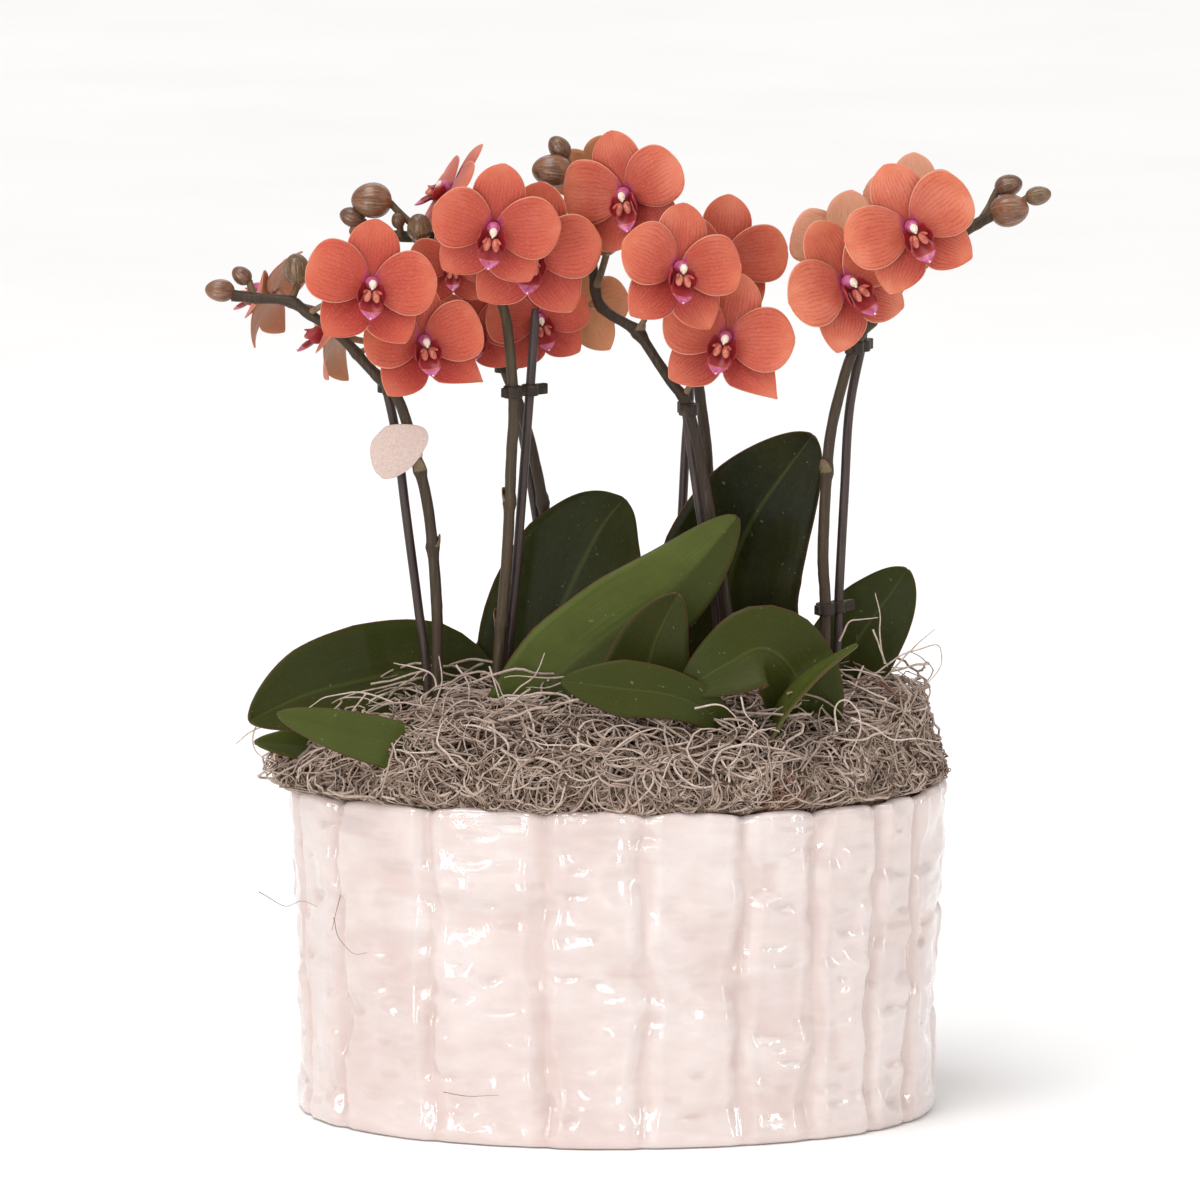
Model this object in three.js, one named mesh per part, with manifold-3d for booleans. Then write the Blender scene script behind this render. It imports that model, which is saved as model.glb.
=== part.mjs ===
// Three miniature moth orchids with two flower sprays each, planted together in one oval
// fluted ceramic planter and topped with curly moss. Millimetres, +Z up, the front faces -Y.
// The origin is on the surface that the planter stands on, under the middle of its base.

import * as THREE from 'three';
import { mergeVertices } from 'three/addons/utils/BufferGeometryUtils.js';
import Module from 'manifold-3d';

const wasm = await Module();
wasm.setup();

// Driving dimensions
const gap = 0.3; // clearance between neighbouring pieces

const planter = {
  halfLength: 137, // at the rim, crest to crest
  halfDepth: 89.5,
  height: 140.5,
  wall: 5.5,
  floor: 7,
  taper: 0.963, // width just above the foot, as a share of the rim's
  foot: 0.975, // width of the flared foot
  valleyDepth: 2.6,
  crestRise: 0.7,
  dent: 0.9, // how far the hammered dents go in and out
  rimWave: 2.4, // rise and fall of the wavy rim
};

// Creases between the flutes, in degrees round the oval from its right end, front first
const fluteCreases = [
  -24, -37.7, -52.6, -67.4, -85.1, -103.2, -125.2, -148.8, -166,
  -186, -208, -229, -250, -270, -290, -311, -332, -364,
];

const rib = { width: 5, length: 118, top: 30, spread: 30 }; // carries the pots above the water

const pot = {
  topRadius: 41,
  bandRadius: 39.4,
  baseRadius: 31,
  wall: 1.4,
  bandHeight: 12,
  bottom: rib.top + gap,
  top: 122,
  drainRadius: 4.5,
};

const potSides = 10;

const barkTop = 112;
const barkInset = 0.9;

const wick = { radius: 2.5, bottom: planter.floor + gap, top: 72 };

const stemRadius = 1.9;
const pedicelRadius = 1.25;
const stakeRadius = 1.7;
const stemStep = 19; // length of one straight stretch of a faceted stem
const stemFoot = 98; // height of a stem's cut-in foot inside the bark
const stakeFoot = 52;

const leafThickness = 1.8;
const leafFold = 0.18; // rise of the edges, as a share of the half width
const leafShape = [0.2, 0.4, 0.78, 1, 0.97, 0.68, 0.13]; // half widths from foot to tip
const tepalThickness = 0.9;

const clip = { height: 5, depth: 7.4, margin: 1.6, tab: 4 };
const tag = { width: 24.5, height: 23.5, thickness: 1.1, offset: 6, sleeveRadius: 3.9, sleeveHeight: 6 };

const moss = {
  bottom: pot.top + 0.4,
  rimClear: 144.2,
  edgeTop: 149,
  crown: 177,
  relief: 2.6,
};

const colours = {
  glaze: 0xf6dfd8,
  pot: 0x7a5a48,
  bark: 0x5b4030,
  wick: 0xe8e4da,
  moss: 0x86705f,
  leaf: 0x3c4a20,
  stem: 0x5b5240,
  stake: 0x3f302b,
  clip: 0x35281f,
  tag: 0xd9bdb2,
  bloom: 0xd2694f,
};

// Small tools

const vector = (point) => new THREE.Vector3(...point);

let seed = 20;
function chance() {
  seed = (seed * 16807) % 2147483647;
  return seed / 2147483647;
}

function spread(amount) {
  return (chance() * 2 - 1) * amount;
}

function geometryFrom(vertices, triangles) {
  const geometry = new THREE.BufferGeometry();
  geometry.setAttribute('position', new THREE.Float32BufferAttribute(vertices, 3));
  geometry.setIndex(triangles);
  return geometry;
}

function solidOf(geometry) {
  const bare = geometry.clone();
  bare.deleteAttribute('normal');
  bare.deleteAttribute('uv');
  const merged = mergeVertices(bare, 1e-4);
  return new wasm.Manifold(new wasm.Mesh({
    numProp: 3,
    vertProperties: new Float32Array(merged.attributes.position.array),
    triVerts: new Uint32Array(merged.index.array),
  }));
}

function geometryOf(solid) {
  const mesh = solid.getMesh();
  const geometry = geometryFrom(Array.from(mesh.vertProperties), Array.from(mesh.triVerts));
  geometry.computeVertexNormals();
  return geometry;
}

function joined(solids) {
  return solids.reduce((whole, next) => whole.add(next));
}

function cut(solid, cutters) {
  return cutters.reduce((rest, next) => rest.subtract(next), solid);
}

function largestBody(solid) {
  return solid.decompose().reduce((best, next) => (next.volume() > best.volume() ? next : best));
}

// A closed body through rings of equal length, listed from the underside outwards, up and in
function stackedRings(rings, firstCentre, lastCentre) {
  const count = rings[0].length;
  const vertices = [...rings.flat(), firstCentre, lastCentre].flatMap((p) => [p.x, p.y, p.z]);
  const first = rings.length * count;
  const triangles = [];
  for (let i = 0; i < count; i += 1) {
    const j = (i + 1) % count;
    triangles.push(first, j, i);
    for (let r = 0; r < rings.length - 1; r += 1) {
      const [low, high] = [r * count, (r + 1) * count];
      triangles.push(low + i, low + j, high + j, low + i, high + j, high + i);
    }
    const last = (rings.length - 1) * count;
    triangles.push(last + i, last + j, first + 1);
  }
  return geometryFrom(vertices, triangles);
}

// A closed blade: rows of points across its middle surface, thickened both ways along normals
function blade(rows, normals, thickness) {
  const across = rows[0].length;
  const shift = (side) => rows.flatMap((row, r) => row.flatMap((point) => {
    const moved = point.clone().addScaledVector(normals[r], side * thickness / 2);
    return [moved.x, moved.y, moved.z];
  }));
  const under = rows.length * across;
  const triangles = [];
  const quad = (a, b, c, d) => triangles.push(a, b, c, a, c, d);
  for (let r = 0; r < rows.length - 1; r += 1) {
    const [here, next] = [r * across, (r + 1) * across];
    for (let k = 0; k < across - 1; k += 1) {
      const [a, b, c, d] = [here + k, here + k + 1, next + k + 1, next + k];
      quad(a, b, c, d);
      triangles.push(under + a, under + c, under + b, under + a, under + d, under + c);
    }
    const end = across - 1;
    quad(here, next, under + next, under + here);
    quad(here + end, under + here + end, under + next + end, next + end);
  }
  const last = (rows.length - 1) * across;
  for (let k = 0; k < across - 1; k += 1) {
    quad(k, under + k, under + k + 1, k + 1);
    quad(last + k, last + k + 1, under + last + k + 1, under + last + k);
  }
  return geometryFrom([...shift(1), ...shift(-1)], triangles);
}

// A round bar along a curve. reach lengthens it straight on at both ends.
function tube(points, radius, sides, stepLength, reach = 0) {
  const route = points.map(vector);
  const onwards = (end, before) => end.clone().sub(before).setLength(reach).add(end);
  if (reach > 0) {
    const last = route.length - 1;
    [route[0], route[last]] = [onwards(route[0], route[1]), onwards(route[last], route[last - 1])];
  }
  const curve = new THREE.CatmullRomCurve3(route);
  const corners = Array.from({ length: sides }, (_, i) => {
    const angle = (i / sides) * Math.PI * 2;
    return new THREE.Vector2(Math.cos(angle) * radius, Math.sin(angle) * radius);
  });
  return solidOf(new THREE.ExtrudeGeometry(new THREE.Shape(corners), {
    steps: Math.max(2, Math.round(curve.getLength() / stepLength)),
    extrudePath: curve,
    bevelEnabled: false,
    curveSegments: 1,
  }));
}

function turned(profile, segments) {
  const points = profile.map(([radius, height]) => new THREE.Vector2(radius, height));
  return new THREE.LatheGeometry(points, segments).rotateX(Math.PI / 2);
}

// Planter

function oval(degrees, halfLength, halfDepth, z) {
  const angle = THREE.MathUtils.degToRad(degrees);
  return new THREE.Vector3(halfLength * Math.cos(angle), halfDepth * Math.sin(angle), z);
}

// Three columns to a flute: its crease and the two edges of its raised panel
function fluteColumns() {
  return fluteCreases.flatMap((crease, i) => {
    const next = i + 1 < fluteCreases.length ? fluteCreases[i + 1] : fluteCreases[0] - 360;
    const at = (share) => crease + (next - crease) * share;
    return [
      { degrees: crease, rise: -planter.valleyDepth, crest: -1 },
      { degrees: at(0.22), rise: planter.crestRise, crest: 0.6 },
      { degrees: at(0.78), rise: planter.crestRise, crest: 0.6 },
    ];
  }).reverse();
}

function sideScale(height) {
  if (height < 6) {
    return planter.foot;
  }
  return planter.taper + (1 - planter.taper) * (height / planter.height) ** 1.4;
}

function planterBody() {
  const columns = fluteColumns();
  const rimHeight = (column) => planter.height + planter.rimWave * 0.5 * column.crest
    + planter.rimWave * 0.5 * Math.sin(THREE.MathUtils.degToRad(column.degrees * 3 + 40));
  const outerHeights = [5, 17, 38, 60, 82, 104, 126];
  const outer = (height) => columns.map((column) => {
    const scale = sideScale(height);
    const dent = height > 5 ? spread(planter.dent) : 0;
    const rise = column.rise * (height > 5 ? 1 : 0.6) + dent;
    return oval(column.degrees, planter.halfLength * scale + rise, planter.halfDepth * scale + rise, height);
  });
  const level = (halfLength, halfDepth, z) => columns.map((column) => (
    oval(column.degrees, halfLength, halfDepth, z === 'rim' ? rimHeight(column) : z)));
  const { wall, taper, halfLength, halfDepth } = planter;
  const footLength = planter.halfLength * planter.foot - 2;
  const footDepth = planter.halfDepth * planter.foot - 2;
  const rings = [
    level(footLength, footDepth, 0),
    ...outerHeights.map(outer),
    level(planter.halfLength - 0.8, planter.halfDepth - 0.8, 'rim'),
    level(planter.halfLength - wall + 0.8, planter.halfDepth - wall + 0.8, 'rim'),
    level(planter.halfLength - wall, planter.halfDepth - wall, 126),
    level(halfLength * taper - wall - 4, halfDepth * taper - wall - 4, planter.floor),
  ];
  const low = new THREE.Vector3(0, 0, 0);
  const high = new THREE.Vector3(0, 0, planter.floor);
  return solidOf(stackedRings(rings, low, high));
}

function planterSolid(plants) {
  const ribs = plants.flatMap(({ pot: [x] }) => [-1, 1].map((side) => {
    const height = rib.top - planter.floor + 1;
    const box = new THREE.BoxGeometry(rib.width, rib.length, height);
    box.translate(x + side * rib.spread / 2, 0, rib.top - height / 2);
    return solidOf(box);
  }));
  return joined([planterBody(), ...ribs]);
}

// Nursery pots, bark and wicks

function nurseryPot([x, y]) {
  const inner = pot.topRadius - pot.wall;
  const profile = [
    [pot.drainRadius, pot.bottom],
    [pot.baseRadius, pot.bottom],
    [pot.bandRadius, pot.top - pot.bandHeight],
    [pot.topRadius, pot.top - pot.bandHeight],
    [pot.topRadius, pot.top],
    [inner, pot.top],
    [pot.bandRadius - pot.wall, pot.top - pot.bandHeight - 1],
    [pot.baseRadius - pot.wall, pot.bottom + pot.wall],
    [pot.drainRadius, pot.bottom + pot.wall],
    [pot.drainRadius, pot.bottom],
  ];
  return solidOf(turned(profile, potSides).translate(x, y, 0));
}

function barkFill([x, y], cutters) {
  const low = pot.bottom + pot.wall + gap;
  const lean = (pot.bandRadius - pot.baseRadius) / (pot.top - pot.bandHeight - pot.bottom);
  const radiusAt = (height) => pot.baseRadius + (height - pot.bottom) * lean - pot.wall - barkInset;
  const shoulder = pot.top - pot.bandHeight - 3;
  const profile = [
    [0, low],
    [radiusAt(low), low],
    [radiusAt(shoulder), shoulder],
    [radiusAt(shoulder) - 3, barkTop],
    [0, barkTop + 1],
  ];
  return largestBody(cut(solidOf(turned(profile, potSides).translate(x, y, 0)), cutters));
}

function wickSolid([x, y], grow) {
  return tube([[x, y, wick.bottom], [x, y, (wick.bottom + wick.top) / 2], [x, y, wick.top]],
    wick.radius + grow, 6, 40, grow);
}

// Leaves, crown and roots of one plant

// A leaf follows its midrib. face is the way its upper side looks, fold lifts its two edges.
function leafSolid({ midrib, halfWidth, face, shape = leafShape }, grow) {
  const rows = shape.length;
  const curve = new THREE.CatmullRomCurve3(midrib.map(vector));
  const normals = [];
  const points = shape.map((share, r) => {
    const u = r / (rows - 1);
    const along = curve.getTangentAt(u);
    const side = new THREE.Vector3().crossVectors(along, vector(face)).normalize();
    const normal = new THREE.Vector3().crossVectors(side, along).normalize();
    normals.push(normal);
    const half = halfWidth * share + grow;
    return [-1, 0, 1].map((w) => curve.getPointAt(u)
      .addScaledVector(side, w * half)
      .addScaledVector(normal, leafFold * half * w * w));
  });
  return solidOf(blade(points, normals, leafThickness + 2 * grow));
}

function crownSolid([x, y], grow) {
  const shape = new THREE.CylinderGeometry(5.4 + grow, 6.5 + grow, 30 + 2 * grow, 7);
  shape.rotateX(Math.PI / 2);
  return solidOf(shape.translate(x, y, 106));
}

function rootSolids([x, y], grow) {
  return [80, 260].map((degrees, i) => {
    const reach = (radius, z) => {
      const angle = THREE.MathUtils.degToRad(degrees + (98 - z) * 0.5);
      return [x + radius * Math.cos(angle), y + radius * Math.sin(angle), z];
    };
    return tube([reach(3, 98), reach(14, 84), reach(18, 66 + 3 * i)], 1.9 + grow, 4, 20, grow);
  });
}

function foliage(plant, grow = 0) {
  return joined([
    crownSolid(plant.at, grow),
    ...plant.leaves.map((leaf) => leafSolid(leaf, grow)),
    ...rootSolids(plant.at, grow),
  ]);
}

// Stems, pedicels and buds of one spray

function lookTowards(turn, tilt) {
  const [a, b] = [THREE.MathUtils.degToRad(turn), THREE.MathUtils.degToRad(tilt)];
  return new THREE.Vector3(Math.sin(a) * Math.cos(b), -Math.cos(a) * Math.cos(b), Math.sin(b));
}

function budSolid({ at, towards, length, width }) {
  const shape = new THREE.SphereGeometry(1, 5, 4);
  shape.scale(width / 2, length / 2, width / 2);
  const tip = vector(towards).normalize();
  const aim = new THREE.Quaternion().setFromUnitVectors(new THREE.Vector3(0, 1, 0), tip);
  shape.applyQuaternion(aim);
  return solidOf(shape.translate(...at));
}

function budStalk({ at, towards, length, from }) {
  const base = vector(at).addScaledVector(vector(towards).normalize(), -length * 0.42);
  const middle = base.clone().lerp(vector(from), 0.5).add(new THREE.Vector3(0, 0, -1));
  return tube([from, middle.toArray(), base.toArray()], pedicelRadius, 4, 12);
}

const bloomBack = 2.2; // from the middle of a bloom back to the end of its hub

function pedicelSolid({ at, turn, tilt, size, from, via }) {
  const look = lookTowards(turn, tilt);
  const end = vector(at).addScaledVector(look, -(bloomBack * size + gap));
  const behind = end.clone().addScaledVector(look, -7);
  const middle = behind.clone().lerp(vector(from), 0.5).add(new THREE.Vector3(0, 0, 1.5));
  return tube([from, via ?? middle.toArray(), behind.toArray(), end.toArray()], pedicelRadius, 4, 12);
}

function spraySolid(spray) {
  const { stem, buds, blooms } = spray;
  return largestBody(joined([
    tube(stem, stemRadius, 5, stemStep),
    ...buds.flatMap((bud) => [budSolid(bud), budStalk(bud)]),
    ...blooms.map(pedicelSolid),
  ]));
}

function stemCutter({ stem }) {
  return tube(stem, stemRadius + 0.5, 5, stemStep, 0.5);
}

function stakeSolid({ stake }, grow = 0) {
  return tube(stake, stakeRadius + grow, 5, 36, grow);
}

// Clips and tag

function placeAtHeight(points, height) {
  const curve = new THREE.CatmullRomCurve3(points.map(vector));
  const sample = curve.getSpacedPoints(400);
  return sample.reduce((best, p) => (Math.abs(p.z - height) < Math.abs(best.z - height) ? p : best));
}

function clipSolid(spray, height, cutters) {
  const a = placeAtHeight(spray.stem, height);
  const b = placeAtHeight(spray.stake, height);
  const along = new THREE.Vector3(b.x - a.x, b.y - a.y, 0);
  const half = along.length() / 2 + stemRadius + clip.margin;
  const shape = new THREE.BoxGeometry(2 * half + clip.tab, clip.depth, clip.height);
  shape.translate(clip.tab / 2, 0, 0);
  shape.rotateZ(Math.atan2(along.y, along.x));
  shape.translate((a.x + b.x) / 2, (a.y + b.y) / 2, height);
  return largestBody(cut(solidOf(shape), cutters));
}

function tagSolid(spray, height) {
  const hold = placeAtHeight(spray.stem, height);
  const { width, height: tall } = tag;
  const outline = new THREE.Shape();
  outline.moveTo(-width * 0.5, -tall * 0.05);
  outline.quadraticCurveTo(-width * 0.55, tall * 0.42, -width * 0.1, tall * 0.5);
  outline.quadraticCurveTo(width * 0.6, tall * 0.52, width * 0.47, tall * 0.08);
  outline.quadraticCurveTo(width * 0.25, -tall * 0.42, -width * 0.15, -tall * 0.5);
  outline.quadraticCurveTo(-width * 0.48, -tall * 0.55, -width * 0.5, -tall * 0.05);
  const sheet = { depth: tag.thickness, bevelEnabled: false, curveSegments: 4 };
  const card = new THREE.ExtrudeGeometry(outline, sheet);
  card.rotateX(Math.PI / 2);
  const front = hold.y - tag.sleeveRadius;
  card.translate(hold.x - tag.offset, front + 0.4, height);
  const sleeve = new THREE.CylinderGeometry(tag.sleeveRadius, tag.sleeveRadius, tag.sleeveHeight, 10);
  sleeve.rotateX(Math.PI / 2);
  sleeve.translate(hold.x, hold.y, height);
  return cut(joined([solidOf(card), solidOf(sleeve)]), [stemCutter(spray)]);
}

// Blooms: three sepals behind two broad petals, a lip with side lobes and a column

function tepal({ angle, length, halfWidth, shape, base, lift, cup = 0, across = [-1, 1] }) {
  const a = THREE.MathUtils.degToRad(angle);
  const out = new THREE.Vector3(Math.cos(a), Math.sin(a), 0);
  const side = new THREE.Vector3(Math.sin(a), -Math.cos(a), 0);
  const front = new THREE.Vector3(0, 0, 1);
  const rows = shape.map(([along, share]) => across.map((w) => out.clone()
    .multiplyScalar(heartRadius + length * along)
    .addScaledVector(side, w * halfWidth * share)
    .addScaledVector(front, base + lift * Math.sin(along * 2.4) + cup * w * w * share)));
  return blade(rows, shape.map(() => front), tepalThickness);
}

const heartRadius = 1.8; // where the sepals and petals leave the bloom's heart
const petalShape = [[0, 0.12], [0.4, 0.92], [0.78, 0.94], [1, 0.42]];
const sepalShape = [[0, 0.14], [0.4, 0.95], [0.8, 0.82], [1, 0.2]];
const lipShape = [[0, 0.4], [0.28, 1], [0.62, 0.5], [0.84, 0.6], [1, 0.12]];

function tepals() {
  const petal = { length: 24, halfWidth: 12.2, shape: petalShape, base: 1.2, lift: 1.6 };
  const sepal = { length: 24.4, halfWidth: 9.2, shape: sepalShape, base: -0.4, lift: 1 };
  return [
    tepal({ ...petal, angle: 14 }),
    tepal({ ...petal, angle: 166 }),
    tepal({ ...sepal, angle: 90 }),
    tepal({ ...sepal, angle: 230 }),
    tepal({ ...sepal, angle: 310 }),
  ];
}

// The lip: two raised side lobes near its root and a pointed tongue
function lipPart() {
  return tepal({
    angle: 270, length: 12, halfWidth: 4.6, shape: lipShape,
    base: 2.6, lift: 4.6, cup: 3.6, across: [-1, 0, 1],
  });
}

// The ovary's end, the heart that everything grows from and the column, in one turned body
function columnPart() {
  const profile = [[0, -bloomBack], [1.8, -bloomBack], [2.5, 2], [1.9, 7], [0, 8.4]];
  return turned(profile, 5);
}

function bloomGeometry() {
  const parts = [columnPart(), ...tepals(), lipPart()];
  return geometryOf(largestBody(joined(parts.map(solidOf))));
}

function bloomMesh({ name, at, turn, tilt, roll, size }, geometry, finish) {
  const look = lookTowards(turn, tilt);
  const level = new THREE.Vector3(0, 0, 1).addScaledVector(look, -look.z).normalize();
  const right = new THREE.Vector3().crossVectors(level, look);
  const spin = THREE.MathUtils.degToRad(roll);
  const up = level.clone().multiplyScalar(Math.cos(spin)).addScaledVector(right, -Math.sin(spin));
  const across = new THREE.Vector3().crossVectors(up, look);
  const mesh = new THREE.Mesh(geometry, finish);
  mesh.name = name;
  mesh.position.set(...at);
  mesh.quaternion.setFromRotationMatrix(new THREE.Matrix4().makeBasis(across, up, look));
  mesh.scale.setScalar(size);
  return mesh;
}

// Moss

// The moss fills the mouth of the planter and heaps over its rim, furthest at the left end
function mossRings() {
  const count = 29;
  const { halfLength, halfDepth, wall } = planter;
  const ring = (lengthWise, depthWise, z, over, rough) => Array.from({ length: count }, (_, i) => {
    const degrees = (i / count) * 360;
    const leftwards = Math.max(0, -Math.cos(THREE.MathUtils.degToRad(degrees))) ** 2;
    const point = oval(degrees, lengthWise + over * (1 + 2.4 * leftwards), depthWise + over * 0.6, z);
    return point.add(new THREE.Vector3(spread(rough), spread(rough), spread(rough)));
  });
  const inset = wall + 2.3;
  return [
    ring(halfLength - inset, halfDepth - inset, moss.bottom, 0, 0),
    ring(halfLength - inset, halfDepth - inset, moss.rimClear, 0, 0),
    ring(halfLength, halfDepth, moss.rimClear + 0.4, 1.4, 0),
    ring(halfLength, halfDepth, moss.edgeTop, 2.8, 0.8),
    ring(halfLength * 0.88, halfDepth * 0.88, 161, 1, moss.relief),
    ring(halfLength * 0.66, halfDepth * 0.66, 170, 0, moss.relief),
    ring(halfLength * 0.34, halfDepth * 0.34, 175, 0, moss.relief),
  ];
}

// The open well in the moss that a plant's crown, stems and stakes come up through
function mossWell([x, y, halfLength, halfDepth]) {
  const shape = new THREE.CylinderGeometry(1, 1, 80, 9);
  shape.rotateX(Math.PI / 2);
  return solidOf(shape.scale(halfLength, halfDepth, 1).translate(x, y, moss.bottom + 30));
}

function mossSolid(cutters) {
  const low = new THREE.Vector3(0, 0, moss.bottom);
  const high = new THREE.Vector3(0, 0, moss.crown);
  const mound = solidOf(stackedRings(mossRings(), low, high));
  return largestBody(cut(mound, cutters));
}

// Plants: where each crown stands, and its leaves from the crown outwards
const plants = [
  {
    name: 'left',
    at: [-65, -20],
    pot: [-71, -20],
    well: [-63, -18, 25, 17],
    leaves: [
      {
        midrib: [[-66, -17, 116], [-58, -8, 138], [-54, 0, 158], [-59, 4, 173], [-71, 4, 183],
          [-88, 0, 186], [-108, -9, 184], [-131, -23, 180], [-153, -38, 172]],
        halfWidth: 24.5,
        face: [0, -0.95, 0.3],
        shape: [0.2, 0.3, 0.52, 0.95, 1, 0.76, 0.13],
      },
      {
        midrib: [[-66, -24, 115], [-69, -34, 137], [-79, -48, 153], [-93, -58, 162], [-113, -66, 170],
          [-140, -73, 181]],
        halfWidth: 12,
        face: [0.4, -0.9, 0.1],
      },
      {
        midrib: [[-66, -15, 115], [-76, -1, 135], [-103, -7, 150], [-128, -17, 158], [-151, -26, 163]],
        halfWidth: 11,
        face: [0, -0.5, 0.87],
      },
      {
        midrib: [[-64, -17, 116], [-58, -2, 142], [-43, 4, 166], [-32, 5, 186], [-27, 6, 204],
          [-18, 8, 224], [-7, 11, 245], [3, 13, 258]],
        halfWidth: 30,
        face: [-0.25, -0.95, 0.2],
        shape: [0.2, 0.4, 0.7, 0.95, 1, 0.85, 0.3],
      },
      {
        midrib: [[-63, -23, 116], [-54, -33, 150], [-30, -34, 185], [-5, -32, 207], [25, -29, 229],
          [50, -26, 256]],
        halfWidth: 21,
        face: [-0.2, -0.97, 0.1],
      },
    ],
  },
  {
    name: 'middle',
    at: [0, 24],
    pot: [0, 25],
    well: [1, 24, 33, 15],
    leaves: [
      {
        midrib: [[0, 20, 116], [2, 0, 142], [7, -28, 158], [10, -46, 181], [15, -48, 205],
          [25, -48, 227]],
        halfWidth: 21,
        face: [0, -1, 0],
      },
      {
        midrib: [[-1, 28, 116], [-5, 42, 150], [-17, 62, 178], [-42, 82, 187], [-64, 94, 177]],
        halfWidth: 22,
        face: [0.3, -0.5, 0.8],
      },
      {
        midrib: [[1, 28, 116], [7, 44, 152], [24, 64, 184], [50, 82, 192], [72, 94, 180]],
        halfWidth: 22,
        face: [-0.3, -0.5, 0.8],
      },
    ],
  },
  {
    name: 'right',
    at: [69, -22],
    pot: [71, -20],
    well: [69, -16, 32, 18],
    leaves: [
      {
        midrib: [[68, -18, 116], [64, -3, 144], [52, 6, 180], [46, 7, 215], [56, 7, 248], [82, 6, 286]],
        halfWidth: 31,
        face: [-0.1, -1, 0.1],
      },
      {
        midrib: [[71, -26, 115], [81, -36, 146], [86, -45, 172], [81, -53, 192], [66, -58, 203],
          [46, -61, 200], [26, -61, 188]],
        halfWidth: 18.5,
        face: [0, -0.93, 0.37],
        shape: [0.2, 0.34, 0.6, 0.9, 1, 0.74, 0.13],
      },
      {
        midrib: [[67, -26, 115], [58, -42, 150], [42, -60, 176], [24, -67, 187], [1, -70, 191],
          [-23, -70, 194]],
        halfWidth: 11.5,
        face: [0, -0.95, 0.3],
        shape: [0.2, 0.3, 0.36, 0.55, 0.85, 1, 0.35],
      },
      {
        midrib: [[71, -27, 115], [67, -46, 148], [66, -60, 172], [80, -65, 194], [99, -60, 208]],
        halfWidth: 11,
        face: [-0.8, -0.2, 0.6],
      },
      {
        midrib: [[70, -18, 116], [76, -4, 142], [89, 5, 176], [102, 6, 200], [114, 6, 217],
          [122, 6, 229]],
        halfWidth: 19,
        face: [-0.1, -0.98, 0.2],
        shape: [0.2, 0.4, 0.78, 1, 1, 0.8, 0.3],
      },
    ],
  },
];

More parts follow.
